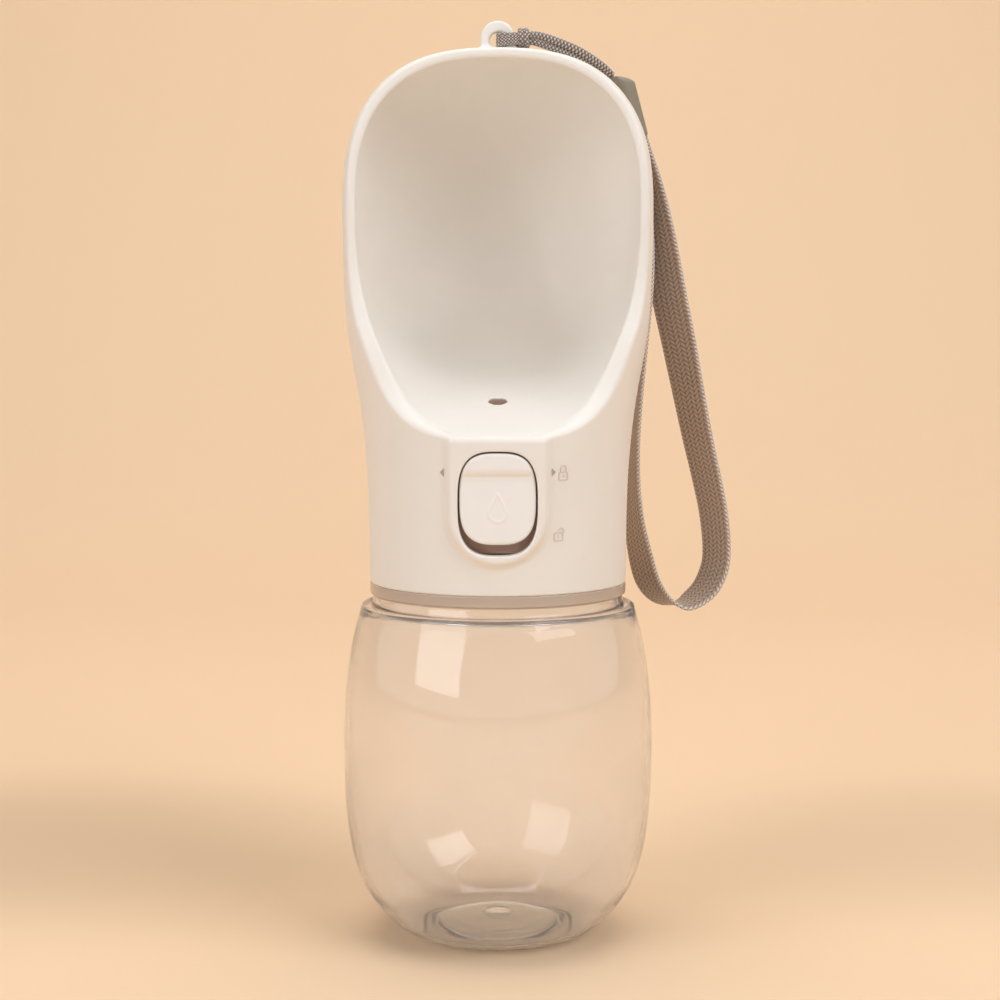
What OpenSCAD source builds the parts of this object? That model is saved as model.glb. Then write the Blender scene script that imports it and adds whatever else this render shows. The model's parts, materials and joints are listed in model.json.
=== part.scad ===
// Dog travel water bottle: clear bottle, screw-on white head with an open
// drinking scoop, a locking push button that opens a spring-loaded drain
// valve, and a webbing wrist loop on a thin cord.
// Frame: +Z up, front (button side) is -Y, origin at the centre of the base.
// Millimetres.

/* [Bottle] */
// Widest outer radius of the clear body
body_r = 37.2; // [37:0.1:37.6]
// Wall thickness of the clear body
body_wall = 1.2; // [1:0.1:1.4]
// Height of the top of the support ring
ring_top = 85.4; // [85.3:0.05:85.4]
// Outer radius of the support ring
ring_r = 30.75; // [30.6:0.05:30.8]
// Outer radius of the threaded neck
neck_r = 24.4; // [24.2:0.1:24.4]
// Inner radius of the mouth
mouth_r = 22.6; // [22.2:0.1:22.6]
// Height of the lip of the mouth
lip_z = 91.2; // [91.1:0.05:91.2]
// Rise of the thread in one turn
pitch = 3; // [2.9:0.1:3]

/* [Head] */
// Outer radius of the head at its lower edge
head_r = 30.75; // [30.7:0.05:30.8]
// Widest outer radius of the scoop
scoop_r = 36.85; // [36.6:0.05:36.9]
// Height where the scoop is widest
scoop_z = 172.4; // [171:0.1:173]
// Height of the dome above the widest place
dome_h = 39.4; // [39:0.1:39.6]
// Wall thickness of the head
wall = 2.3; // [2.2:0.05:2.4]
// Slope of the scoop floor, in degrees
floor_slope = 17; // [16:0.5:17.5]
// Radius of the drain hole in the scoop floor
drain_r = 2.35; // [2:0.05:2.4]
// Distance of the drain hole in front of the axis
drain_y = 6; // [5.5:0.5:6]

/* [Eye for the cord] */
// Outer radius of the eye
eye_r = 3.9; // [3.8:0.1:4]
// Radius of the hole in the eye
eye_hole = 1.9; // [1.8:0.05:1.9]
// Thickness of the eye
eye_t = 3; // [2.8:0.1:3]

/* [Button] */
// Width of the push button
button_w = 17.3; // [17:0.1:17.4]
// Height of the push button
button_h = 20.7; // [20.4:0.1:20.8]
// Gap between the button and its slot
button_gap = 0.4; // [0.3:0.05:0.4]
// Distance the button slides between locked and unlocked
lock_travel = 2.1; // [2:0.1:2.2]
// Distance the button is pressed to open the valve
press_travel = 3; // [2.5:0.5:3]

/* [Valve] */
// Distance of the valve stem behind the axis
valve_y = 9; // [9:0.5:9]
// Radius of the valve stem
stem_r = 1.5; // [1.4:0.1:1.5]
// Radius of the spring wire
wire_r = 0.35; // [0.3:0.05:0.4]

/* [Wrist loop] */
// Width of the webbing
web_w = 10; // [9:0.5:10]
// Thickness of the webbing
web_t = 1.1; // [0.9:0.1:1.2]
// Diameter of the thin cord
cord_d = 1.6; // [1.5:0.1:1.6]

/* [Hidden] */
$fn = 96;

white = [0.93, 0.90, 0.87];
clear = [0.92, 0.86, 0.80, 0.35];
grey = [0.57, 0.54, 0.48];
tan = [0.60, 0.50, 0.42];
steel = [0.75, 0.76, 0.78];
silicone = [0.90, 0.88, 0.85];
taupe = [0.58, 0.46, 0.40];

deck_z = lip_z + 1.3;            // underside of the deck
deck_top = deck_z + 1.8;
gap = 0.3;                       // running gap between moving pieces

// ---- helper functions -------------------------------------------------

// Catmull-Rom value and curve through a list of points
function cr(p, i, t) =
    let (n = len(p) - 1,
         a = p[max(i - 1, 0)], b = p[i], c = p[min(i + 1, n)], d = p[min(i + 2, n)])
    0.5 * ((2 * b) + (c - a) * t + (2 * a - 5 * b + 4 * c - d) * t * t
           + (3 * b - a - 3 * c + d) * t * t * t);
function curve(p, m) =
    concat([for (i = [0 : len(p) - 2]) for (k = [0 : m - 1]) cr(p, i, k / m)],
           [p[len(p) - 1]]);
function unit(v) = v / norm(v);

// radius of the head's outside at height z
head_line = [[85.4, 30.75], [100, 30.8], [110, 31.1], [118, 31.7], [125, 32.4],
             [132, 33.5], [138.5, 34.7], [145.5, 35.9], [158, 36.5]];
function line_at(p, z, i = 0) =
    i >= len(p) - 2 || z <= p[i + 1][0]
        ? p[i][1] + (p[i + 1][1] - p[i][1]) * (z - p[i][0]) / (p[i + 1][0] - p[i][0])
        : line_at(p, z, i + 1);
function dome(z, r, h) = r * pow(max(0, 1 - pow(max(0, (z - scoop_z)) / h, 2.6)), 1 / 2.7);

// outline of the head as a half section, drawn in by "in" everywhere
function head_section(in, z0) =
    let (top = dome_h - in, r = scoop_r - in)
    concat(
        [[0, z0], [head_r - in, z0]],
        [for (q = curve([for (p = head_line) [p[1], p[0]]], 3))
            if (q[1] > z0 + 0.5) [q[0] - in, q[1]]],
        [[scoop_r - in - 0.05, 166]],
        [for (k = [0 : 22])
            let (a = k * 90 / 22, t = pow(sin(a), 0.8))
            k == 22 ? [0, scoop_z + top] : [dome(scoop_z + top * t, r, top), scoop_z + top * t]]);

// ---- bottle -------------------------------------------------------------

body_line = [[20.4, 0], [23.2, 1.3], [26.4, 3.9], [29.9, 7.8], [32.9, 13],
             [35.3, 20.5], [36.8, 31], [body_r, 42], [body_r, 50], [36.6, 60],
             [35.2, 70], [33.7, 76.6], [32.9, 79.1]];

module bottle_outside() {
    rotate_extrude()
        polygon(concat([[0, 0]], curve(body_line, 3),
            [[32.2, 80], [30.6, 80.5], [29.9, 81.2], [29.9, ring_top - 2.8],
             [ring_r - 0.3, ring_top - 2.8], [ring_r, ring_top - 2.5],
             [ring_r, ring_top - 0.3], [ring_r - 0.3, ring_top],
             [neck_r, ring_top], [neck_r, lip_z - 0.3], [neck_r - 0.3, lip_z], [0, lip_z]]));
}

module bottle_inside() {
    w = body_wall;
    rotate_extrude()
        polygon(concat([[0, 4.6], [6, 4.4], [13.2, 3.4], [15.5, 1.6], [19.8, 1.5]],
            [[22.4, 2.6], [25.5, 5.2], [28.8, 8.9], [31.6, 13.8]],
            [[35.3 - w, 21], [36.8 - w, 31], [body_r - w, 42], [body_r - w, 50],
             [36.6 - w, 60], [35.2 - w, 70], [33.4 - w, 76.2], [32.2 - w, 78.4],
             [30.4 - w, 79.3], [28.6, 80.2], [28.4, 81.6], [27.4, 82.9],
             [24, 83.3], [mouth_r, 84.4], [mouth_r, lip_z + 1], [0, lip_z + 1]]));
}

// helical ridge: r0 root radius, r1 crest radius, half widths at root and crest
module ridge(r0, r1, wr, wc, z0, turns, steps, start = 0) {
    n = round(turns * steps);
    function taper(i) = min(1, i / 3, (n - i) / 3);
    pts = [for (i = [0 : n])
        let (a = start + 360 * i / steps, z = z0 + pitch * i / steps,
             k = max(taper(i), 0.12), c = r0 + (r1 - r0) * k)
        each [[r0 * cos(a), r0 * sin(a), z - wr], [c * cos(a), c * sin(a), z - wc],
              [c * cos(a), c * sin(a), z + wc], [r0 * cos(a), r0 * sin(a), z + wr]]];
    faces = concat(
        [[0, 1, 2, 3]],
        [for (i = [0 : n - 1]) for (j = [0 : 3])
            [4 * i + j, 4 * (i + 1) + j, 4 * (i + 1) + (j + 1) % 4, 4 * i + (j + 1) % 4]],
        [[4 * n + 3, 4 * n + 2, 4 * n + 1, 4 * n]]);
    faces2 = r1 < r0 ? faces : [for (f = faces) [for (k = [len(f) - 1 : -1 : 0]) f[k]]];
    polyhedron(points = pts, faces = faces2, convexity = 6);
}

module bottle() {
    color(clear) union() {
        difference() {
            bottle_outside();
            bottle_inside();
            // pushed-up centre of the base, round the moulding gate
            rotate_extrude()
                polygon([[0, -1], [0, 2.4], [2.6, 2.4], [3.2, 3.2], [6, 3.0],
                         [12.4, 2.1], [14.6, 0.9], [15.5, 0], [15.5, -1]]);
        }
        ridge(neck_r - 0.15, neck_r + 1.5, 0.75, 0.35, 87, 1, 36);
    }
}

module mouth_gasket() {
    color(silicone) translate([0, 0, lip_z + 0.02]) difference() {
        cylinder(r = 25.6, h = 1.26);
        translate([0, 0, -1]) cylinder(r = 22.9, h = 4);
    }
}

// ---- head: shell, scoop and eye -------------------------------------------

// side line of the rim, as [y, z] from the front lip up to the top
rim_line = [[-30.4, 121.6], [-29, 122.3], [-27.5, 123.2], [-25.7, 124.6],
            [-23.4, 127], [-21, 130.5], [-19.4, 134], [-18.3, 137.5], [-17, 141.5],
            [-15.4, 145.5], [-14, 148.5], [-11.8, 156], [-10.9, 164], [-10.8, 172],
            [-10.5, 180], [-10.1, 188], [-9.4, 196], [-8.6, 204], [-7.8, 214]];

module rim_cut() {
    rotate([90, 0, 90]) translate([0, 0, -45]) linear_extrude(90)
        polygon(concat([[-60, 121.6]], curve(rim_line, 2), [[-7.8, 240], [-60, 240]]));
}

// trough that makes the scoop floor; it is lowered by d for its underside
function trough_z(x) = 34 * (1 - pow(1 - pow(min(abs(x) / 34.6, 1), 3.4), 1 / 1.3));
// side line of the floor, curving up into the back wall, as [y, z]
floor_line = [[-4, 129.2], [3, 131.4], [10, 134], [17, 137.5], [23, 141.9], [28, 147.8],
              [31.5, 154.7], [33.6, 162.5], [34.5, 171], [34.8, 180]];
lip_floor = 121.05;              // height of the floor 31 in front of the axis
module trough(d) {
    c = curve(floor_line, 2);
    t = [for (i = [0 : len(c) - 1]) unit(c[min(i + 1, len(c) - 1)] - c[max(i - 1, 0)])];
    side = [for (i = [0 : len(c) - 1]) c[i] + d * [t[i][1], -t[i][0]]];
    intersection() {
        translate([0, -31, lip_floor])
            rotate([floor_slope, 0, 0])
                translate([0, 0, -d])
                    rotate([90, 0, 0]) translate([0, 0, -90]) linear_extrude(110)
                        polygon(concat(
                            [for (k = [0 : 40]) let (x = -34.5 + k * 69 / 40) [x, trough_z(x)]],
                            [[60, 40], [60, 150], [-60, 150], [-60, 40]]));
        rotate([90, 0, 90]) translate([0, 0, -50]) linear_extrude(100)
            polygon(concat([[-70, 90 - d], [-18, 110 - d]], side, [[50, 182], [50, 260], [-70, 260]]));
    }
}

// rounded slot and button outline, w by h, in x and z, centred
function squircle(w, h, p = 3, n = 72) =
    [for (k = [0 : n - 1]) let (a = 360 * k / n, c = cos(a), s = sin(a))
        [w / 2 * sign(c) * pow(abs(c), 2 / p), h / 2 * sign(s) * pow(abs(s), 2 / p)]];

slot_top = 118.35;
slot_w = button_w + 2 * button_gap;
slot_h = button_h + lock_travel + 2 * button_gap;
slot_mid = slot_top - slot_h / 2;
button_mid = slot_top - button_gap - button_h / 2;

module along_y(y0, y1) {
    translate([0, y1, 0]) rotate([90, 0, 0]) linear_extrude(y1 - y0) children();
}

module pad() {
    // raised tongue round the button slot, rounded at its lower end
    intersection() {
        along_y(-36, -24) union() {
            translate([-11.4, 103.9]) square([22.8, 17.7]);
            translate([0, 103.9]) circle(r = 11.4);
        }
        union() {
            translate([0, 12.5, 80]) cylinder(r = 45, h = 41.6);
        }
    }
}

module housing() {
    color(white) difference() {
        union() {
            difference() {
                rotate_extrude() polygon(head_section(0, ring_top + 0.05));
                rotate_extrude() polygon(head_section(wall, ring_top - 1));
            }
            // scoop floor
            intersection() {
                rotate_extrude() polygon(head_section(wall - 0.05, ring_top + 5));
                difference() {
                    trough(wall);
                    trough(0);
                }
            }
            difference() {
                pad();
                translate([0, 0, 80]) cylinder(r = head_r - wall + 0.1, h = 60);
            }
            // spigot under the drain hole
            translate([0, -drain_y, 112])
                cylinder(r = 3.5, h = lip_floor - 112.1 + (27.5 - drain_y) * tan(floor_slope));
            // eye on the crest
            translate([0, 2, 214.8]) rotate([90, 0, 0]) translate([0, 0, -eye_t / 2]) {
                cylinder(r = eye_r, h = eye_t);
                translate([-eye_r - 0.5, -4.6, 0]) cube([2 * eye_r + 1, 2, eye_t]);
            }
        }
        rim_cut();
        translate([0, -drain_y, 105]) cylinder(r = drain_r, h = 30);
        translate([0, 2, 214.8]) rotate([90, 0, 0]) cylinder(r = eye_hole, h = 20, center = true);
        // button slot
        along_y(-40, -20) translate([0, slot_mid]) polygon(squircle(slot_w, slot_h));
        // snap groove for the inner cap
        translate([0, 0, 89.6]) rotate_extrude()
            polygon([[head_r - wall - 1, 0], [head_r - wall + 0.6, 0.6],
                     [head_r - wall + 0.6, 1.4], [head_r - wall - 1, 2]]);
    }
}

// ---- inner cap with collar and deck --------------------------------------

cap_r = head_r - wall - 0.15;

module inner_cap() {
    color(silicone) union() {
        difference() {
            union() {
                translate([0, 0, 86]) cylinder(r = cap_r, h = deck_top - 86);
                // snap bead
                translate([0, 0, 89.6]) rotate_extrude()
                    polygon([[cap_r - 0.5, 0], [cap_r + 0.45, 0.75],
                             [cap_r + 0.45, 1.25], [cap_r - 0.5, 2]]);
                for (s = [-1, 1]) translate([13 * s, 2, deck_top - 0.5]) cylinder(r = 2.6, h = 105.9 - deck_top + 0.5);
            }
            translate([0, 0, 85]) cylinder(r = 26.2, h = deck_z - 85);
            translate([0, valve_y, 80]) cylinder(r = 3.6, h = 40);
            for (s = [-1, 1]) translate([13 * s, 2, 98]) cylinder(r = 1.1, h = 20);
        }
        // seat lip
        translate([0, valve_y, deck_z - 0.5]) difference() {
            cylinder(r = 4.6, h = 1);
            translate([0, 0, -1]) cylinder(r = 3.6, h = 4);
        }
        ridge(26.35, 24.75, 0.6, 0.3, 87 + pitch / 2 - pitch / 3, 0.85, 36, -120);
    }
}

// ---- valve ------------------------------------------------------------------

module oval(r, z0, z1) {
    translate([0, valve_y, z0]) cylinder(r = r, h = z1 - z0);
    translate([0, -drain_y, z0]) cylinder(r = r, h = z1 - z0);
    translate([-r, -drain_y, z0]) cube([2 * r, valve_y + drain_y, z1 - z0]);
}

module valve_chamber() {
    color(white) difference() {
        union() {
            oval(6.6, deck_top, 100);
            translate([0, valve_y, 99.5]) cylinder(r = 4.4, h = 2.1);
            translate([0, -drain_y, 99.5]) cylinder(r = 5.4, h = 18.3);
        }
        oval(5, deck_top - 1, 98.2);
        translate([0, valve_y, 97]) cylinder(r = stem_r + 0.06, h = 10);
        translate([0, valve_y, 99.2]) cylinder(r = 3.1, h = 10);
        translate([0, -drain_y, 97]) cylinder(r = 4.2, h = 30);
    }
}

module outlet_seal() {
    color(silicone) translate([0, -drain_y, 0]) difference() {
        union() {
            translate([0, 0, 112.6]) cylinder(r = 4.2, h = 5.2);
            translate([0, 0, 117.8]) cylinder(r = 5.2, h = 1);
        }
        translate([0, 0, 110]) cylinder(r = 3.5, h = 12);
    }
}

module stem_seal() {
    color([0.25, 0.25, 0.26]) translate([0, valve_y, 99.95]) rotate_extrude()
        translate([2.28, 0]) circle(r = 0.7, $fn = 32);
}

module gland_cap() {
    color(white) translate([0, valve_y, 100.7]) difference() {
        cylinder(r = 3.05, h = 1);
        translate([0, 0, -1]) cylinder(r = stem_r + 0.3, h = 4);
    }
}

stem_top = 117.6;
pin_z = 113.6;

module valve_stem() {
    color(white) translate([0, valve_y, 0]) difference() {
        union() {
            translate([0, 0, 87.6]) cylinder(r = stem_r, h = 24);
            translate([0, 0, 110.4]) cylinder(r = 4.2, h = 1);
            translate([0, 0, 111.3]) cylinder(r = 3, h = stem_top - 111.3);
        }
        translate([-10, 0, pin_z]) rotate([0, 90, 0]) cylinder(r = 1.2, h = 20);
        translate([0, 0, 88.2]) difference() {
            cylinder(r = 3, h = 0.8);
            translate([0, 0, -1]) cylinder(r = stem_r - 0.45, h = 3);
        }
    }
}

module valve_plug() {
    color(silicone) translate([0, valve_y, 0]) difference() {
        union() {
            translate([0, 0, 90.1]) cylinder(r = 6, h = deck_z - 0.5 - 0.06 - 90.1);
            translate([0, 0, 89]) cylinder(r = 3.2, h = 1.3);
        }
        translate([0, 0, 80]) cylinder(r = stem_r, h = 30);
    }
}

module plug_clip() {
    color(steel) translate([0, valve_y, 88.25]) difference() {
        cylinder(r = 2.9, h = 0.7);
        translate([0, 0, -1]) cylinder(r = stem_r - 0.4, h = 3);
        translate([-0.9, 0, -1]) cube([1.8, 5, 3]);
    }
}

module valve_spring() {
    // wire coil between the gland and the flange of the stem
    turns = 5;
    per = 14;
    n = turns * per;
    z0 = 101.6 + wire_r + 0.1;
    z1 = 110.4 - wire_r - 0.05;
    R = 3.6;
    m = 6;
    pts = [for (i = [0 : n])
        let (a = 360 * i / per, f = i / n, z = z0 + (z1 - z0) * f)
        for (j = [0 : m - 1])
            let (b = 360 * j / m, r = R + wire_r * cos(b))
            [r * cos(a), valve_y + r * sin(a), z + wire_r * sin(b)]];
    color(steel) polyhedron(points = pts, convexity = 8, faces = concat(
        [[for (j = [m - 1 : -1 : 0]) j]],
        [for (i = [0 : n - 1]) for (j = [0 : m - 1])
            [m * i + j, m * i + (j + 1) % m, m * (i + 1) + (j + 1) % m, m * (i + 1) + j]],
        [[for (j = [0 : m - 1]) m * n + j]]));
}

module cross_pin() {
    color(steel) translate([-8.2, valve_y, pin_z]) rotate([0, 90, 0]) cylinder(r = 1.2, h = 16.4);
}

// ---- slider and guide ---------------------------------------------------------

arm_in = 5.9;
arm_out = 8.3;
plate_y = -25.6;

module push_slider() {
    color(taupe) difference() {
        union() {
            // front plate, closing the slot from behind
            translate([-9.3, plate_y, deck_top + 0.4]) cube([18.6, 2, 117 - deck_top - 0.4]);
            // two arms with a 45 degree wedge at the back
            for (s = [-1, 1])
                translate([s > 0 ? arm_in : -arm_out, 0, 0])
                    rotate([90, 0, 90]) linear_extrude(arm_out - arm_in)
                        polygon([[plate_y + 1, 111.2], [4, 111.2], [4, 116.2 - 0.9],
                                 [valve_y - 0.9, 116.2], [plate_y + 1, 116.2]]);
            for (s = [-1, 1])
                translate([s > 0 ? arm_in : -arm_out, 0, 0])
                    rotate([90, 0, 90]) linear_extrude(arm_out - arm_in)
                        polygon(wedge);
        }
        // upright slots for the hooks of the button
        for (s = [-1, 1]) translate([4.5 * s - 1.35, plate_y - 1, 100.6])
            cube([2.7, 4, 10.4]);
    }
}

// the wedge face stands 0.15 off the pin, square to a 45 degree line
wedge_off = 1.2 + 0.12;
wedge = [[2, 116.2], [2, pin_z],
         [valve_y - wedge_off * sqrt(2), pin_z],
         [valve_y - wedge_off * sqrt(2) + 116.2 - pin_z, 116.2]];

module slider_guide() {
    color(silicone) difference() {
        union() {
            // base plate over the chamber
            translate([-15.6, -17, 105.9]) cube([31.2, 32.5, 1.6]);
            // side rails with lips over the arms
            for (s = [-1, 1]) translate([s > 0 ? arm_out + gap : -arm_out - gap - 1.6, -19, 105.9])
                cube([1.6, 33, 12.6]);
            for (s = [-1, 1]) translate([s > 0 ? arm_in + 1 : -arm_out - gap - 0.5, -19, 116.5])
                cube([arm_out - arm_in + gap - 0.5, 18, 2]);
            // rests under the arms
            for (s = [-1, 1]) translate([s > 0 ? arm_in + 0.6 : -arm_out - gap - 0.5, -17, 107])
                cube([arm_out - arm_in + gap - 0.1, 14, 3.9]);
        }
        translate([0, -drain_y, 100]) cylinder(r = 5.5, h = 20);
        translate([0, valve_y, 100]) cylinder(r = 5.2, h = 10);
        for (s = [-1, 1]) translate([13 * s, 2, 100]) cylinder(r = 1.5, h = 20);
    }
}

module guide_screws() {
    color(steel) for (s = [-1, 1]) translate([13 * s, 2, 0]) difference() {
        union() {
            translate([0, 0, 98.4]) cylinder(r = 1.1, h = 9.3);
            translate([0, 0, 107.5]) cylinder(r = 2.2, h = 1.5);
        }
        translate([-1.6, -0.3, 108.3]) cube([3.2, 0.6, 2]);
        translate([-0.3, -1.6, 108.3]) cube([0.6, 3.2, 2]);
    }
}

// ---- button ----------------------------------------------------------------------

module button() {
    color(white) difference() {
        union() {
            // cap: rounded outline under a gently crowned face
            intersection() {
                along_y(-34, -28.7) translate([0, button_mid]) polygon(squircle(button_w, button_h));
                union() {
                    translate([0, 17, 90]) cylinder(r = 48.6, h = 40);
                    // thumb ridge over the upper third
                    translate([0, 16, 112.6]) cylinder(r = 48.6, h = 10);
                }
            }
            // carrier behind the cap
            translate([-7.2, -29, 101.6]) cube([14.4, 3.1, 13.2]);
            // hooks through the slider
            for (s = [-1, 1]) translate([4.5 * s - 1.05, -26.4, 103.4]) cube([2.1, 4.4, 7.2]);
            for (s = [-1, 1]) translate([4.5 * s - 1.75, -23.3, 103.4]) cube([3.5, 1.4, 7.2]);
        }
        // drop-shaped mark on the lower face
        along_y(-40, -31.35) translate([0, 104.6]) difference() {
            union() {
                circle(r = 2.2);
                polygon([[-1.95, 1.0], [1.95, 1.0], [0, 4.6]]);
            }
            circle(r = 1.5);
        }
    }
}

// ---- wrist loop ---------------------------------------------------------------------

// sweep of a flat or round section along points; w is the width direction
function tangents(p) = [for (i = [0 : len(p) - 1])
    unit(p[min(i + 1, len(p) - 1)] - p[max(i - 1, 0)])];
module sweep(path, wdir, a, b, m) {
    n = len(path) - 1;
    t = tangents(path);
    pts = [for (i = [0 : n])
        let (w0 = wdir[i], w = unit(w0 - (w0 * t[i]) * t[i]), h = cross(t[i], w))
        for (j = [0 : m - 1])
            let (q = 360 * (j + 0.5) / m, c = cos(q), s = sin(q))
            path[i] + w * (a * sign(c) * pow(abs(c), m == 8 && a > 2 * b ? 0.35 : 1))
                    + h * (b * sign(s) * pow(abs(s), m == 8 && a > 2 * b ? 0.6 : 1))];
    polyhedron(points = pts, convexity = 8, faces = concat(
        [[for (j = [m - 1 : -1 : 0]) j]],
        [for (i = [0 : n - 1]) for (j = [0 : m - 1])
            [m * i + j, m * i + (j + 1) % m, m * (i + 1) + (j + 1) % m]],
        [for (i = [0 : n - 1]) for (j = [0 : m - 1])
            [m * i + j, m * (i + 1) + (j + 1) % m, m * (i + 1) + j]],
        [[for (j = [0 : m - 1]) m * n + j]]));
}

// thin cord: from the clip, round the limb of the eye, back to the clip
cord_route = [[27.6, 17, 207.3], [25, 14.6, 209.3], [20, 10.8, 212], [15, 7.8, 213.8],
              [10.5, 4.8, 215], [7, 2.7, 215.6], [4.8, 0, 215.6], [3, -0.75, 215.5],
              [1.1, 0, 215.3], [0.75, 2, 214.9], [1.1, 4, 214.5], [3, 4.75, 214.2],
              [4.9, 4.2, 214], [7, 3.3, 213.8], [10.5, 5.2, 213.1], [15, 8, 211.9],
              [20, 11.3, 210.1], [24, 14.6, 208], [27, 17.6, 206.6]];
module lanyard_cord() {
    p = curve(cord_route, 2);
    color(tan) sweep(p, [for (q = p) [0, 1, 0.15]], cord_d / 2, cord_d / 2, 8);
}

module cord_knot() {
    // the bight of the knot, a collar round both strands
    color(tan) translate([7.4, 3.1, 214.7]) rotate([0, 97, 12])
        cylinder(r = 2.2, h = 2.4, center = true);
}

clip_mid = [30.4, 19, 200.2];
clip_turn = 30;                 // the clip faces this far round to the back
clip_tilt = 18;                 // lean of the clip from upright, outwards at the foot
module lanyard_clip() {
    color(grey) translate(clip_mid) rotate([0, 0, clip_turn]) rotate([0, -clip_tilt, 0])
        difference() {
            intersection() {
                cube([4.4, 11.6, 16.4], center = true);
                rotate([0, 0, 45]) cube([10.8, 10.8, 20], center = true);
                rotate([0, 45, 0]) cube([14.2, 14, 14.2], center = true);
            }
            translate([0.3, 0, -8.4]) cube([3, 10.6, 9], center = true);
            translate([0, -1, 8]) cube([2.6, 5, 4], center = true);
        }
}

// webbing: left leg down, round the bottom, right leg up, both ends in the clip
web_route = [[31, 20, 196.4], [32.6, 20.8, 191], [34.6, 20.6, 183], [36.2, 19.6, 173],
             [37, 18.4, 162], [36.8, 17.6, 152], [35.9, 17.2, 142], [34.7, 17, 130],
             [33.8, 17, 118], [33.6, 17, 107], [34.1, 17, 98.4], [35.2, 17, 91],
             [37.5, 17, 82.8], [41.2, 17, 78.4], [46, 17, 77.3], [50.6, 17, 80],
             [53.4, 17, 84.4], [54.5, 17, 90], [53.7, 17, 99.6], [51.8, 17, 109],
             [49.6, 17, 118.4], [47.2, 17.2, 130], [44.8, 17.6, 142], [42.3, 18.2, 154],
             [39.8, 19, 168], [37.4, 20.2, 180], [34.7, 21, 190], [32.7, 20.8, 196.6]];
web_turn = [60, 61, 66, 72, 78, 82, 83, 82, 80, 75, 68, 58, 54, 54, 54, 54, 53, 53,
            51, 49, 47, 43, 38, 35, 40, 50, 59, 60];
module lanyard_webbing() {
    p = curve(web_route, 2);
    a = curve([for (v = web_turn) [v, 0]], 2);
    color(tan) sweep(p, [for (v = a) [cos(v[0]), -sin(v[0]), 0]], web_w / 2, web_t / 2, 8);
}

bottle();
mouth_gasket();
housing();
inner_cap();
valve_chamber();
outlet_seal();
stem_seal();
gland_cap();
valve_stem();
valve_plug();
plug_clip();
valve_spring();
cross_pin();
push_slider();
slider_guide();
guide_screws();
button();
lanyard_cord();
cord_knot();
lanyard_clip();
lanyard_webbing();
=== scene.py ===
import json
import math
import bpy
import bmesh
import numpy as np
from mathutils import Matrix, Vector

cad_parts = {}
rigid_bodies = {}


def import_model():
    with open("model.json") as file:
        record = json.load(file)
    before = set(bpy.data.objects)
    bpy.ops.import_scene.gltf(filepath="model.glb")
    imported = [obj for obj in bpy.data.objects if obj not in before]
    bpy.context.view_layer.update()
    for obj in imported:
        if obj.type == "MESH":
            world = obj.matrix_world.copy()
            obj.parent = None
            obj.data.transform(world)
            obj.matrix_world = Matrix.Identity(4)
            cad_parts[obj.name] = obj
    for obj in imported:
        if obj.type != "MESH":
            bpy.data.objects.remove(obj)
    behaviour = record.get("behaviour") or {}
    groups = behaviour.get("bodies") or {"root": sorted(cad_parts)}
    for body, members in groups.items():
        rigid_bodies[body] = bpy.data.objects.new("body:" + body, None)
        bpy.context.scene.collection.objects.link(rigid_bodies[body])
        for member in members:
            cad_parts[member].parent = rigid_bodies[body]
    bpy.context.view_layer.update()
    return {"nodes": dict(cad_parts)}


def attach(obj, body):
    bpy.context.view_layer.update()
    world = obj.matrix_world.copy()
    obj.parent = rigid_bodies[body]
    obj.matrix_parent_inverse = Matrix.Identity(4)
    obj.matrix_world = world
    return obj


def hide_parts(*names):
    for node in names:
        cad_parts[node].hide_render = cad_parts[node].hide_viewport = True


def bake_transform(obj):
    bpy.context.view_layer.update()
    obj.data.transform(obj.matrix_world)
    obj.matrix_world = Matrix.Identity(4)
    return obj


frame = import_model()
MM = 0.001
scene = bpy.context.scene

# ---------------------------------------------------------------- camera
cam_data = bpy.data.cameras.new("camera")
cam_data.sensor_width = 36.0
cam_data.lens = 72.41
cam_data.clip_start = 0.01
cam_data.clip_end = 20.0
cam = bpy.data.objects.new("camera", cam_data)
cam.location = (0.00053, -0.4814, 0.1465)
cam.rotation_euler = (math.radians(90.0 - 4.96), 0.0, 0.0)
scene.collection.objects.link(cam)
scene.camera = cam
scene.view_settings.view_transform = "Standard"
scene.view_settings.look = "None"


# ---------------------------------------------------------------- helpers
def rgb(r, g, b):
    """Linear colour from 8-bit screen values."""
    out = []
    for c in (r, g, b):
        c /= 255.0
        out.append(c / 12.92 if c <= 0.04045 else ((c + 0.055) / 1.055) ** 2.4)
    return (*out, 1.0)


def pchip(pts):
    """A smooth curve without overshoot through (x, y) points, as a function."""
    x = np.array([p[0] for p in pts], float)
    y = np.array([p[1] for p in pts], float)
    h = np.diff(x)
    d = np.diff(y) / h
    m = np.zeros(len(x))
    for i in range(1, len(x) - 1):
        if d[i - 1] * d[i] > 0:
            w1, w2 = 2 * h[i] + h[i - 1], h[i] + 2 * h[i - 1]
            m[i] = (w1 + w2) / (w1 / d[i - 1] + w2 / d[i])
    m[0], m[-1] = d[0], d[-1]

    def f(v):
        v = np.clip(v, x[0], x[-1])
        i = np.clip(np.searchsorted(x, v) - 1, 0, len(h) - 1)
        t = (v - x[i]) / h[i]
        return (
            (2 * t**3 - 3 * t**2 + 1) * y[i]
            + (t**3 - 2 * t**2 + t) * h[i] * m[i]
            + (-2 * t**3 + 3 * t**2) * y[i + 1]
            + (t**3 - t**2) * h[i] * m[i + 1]
        )

    return f


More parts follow.
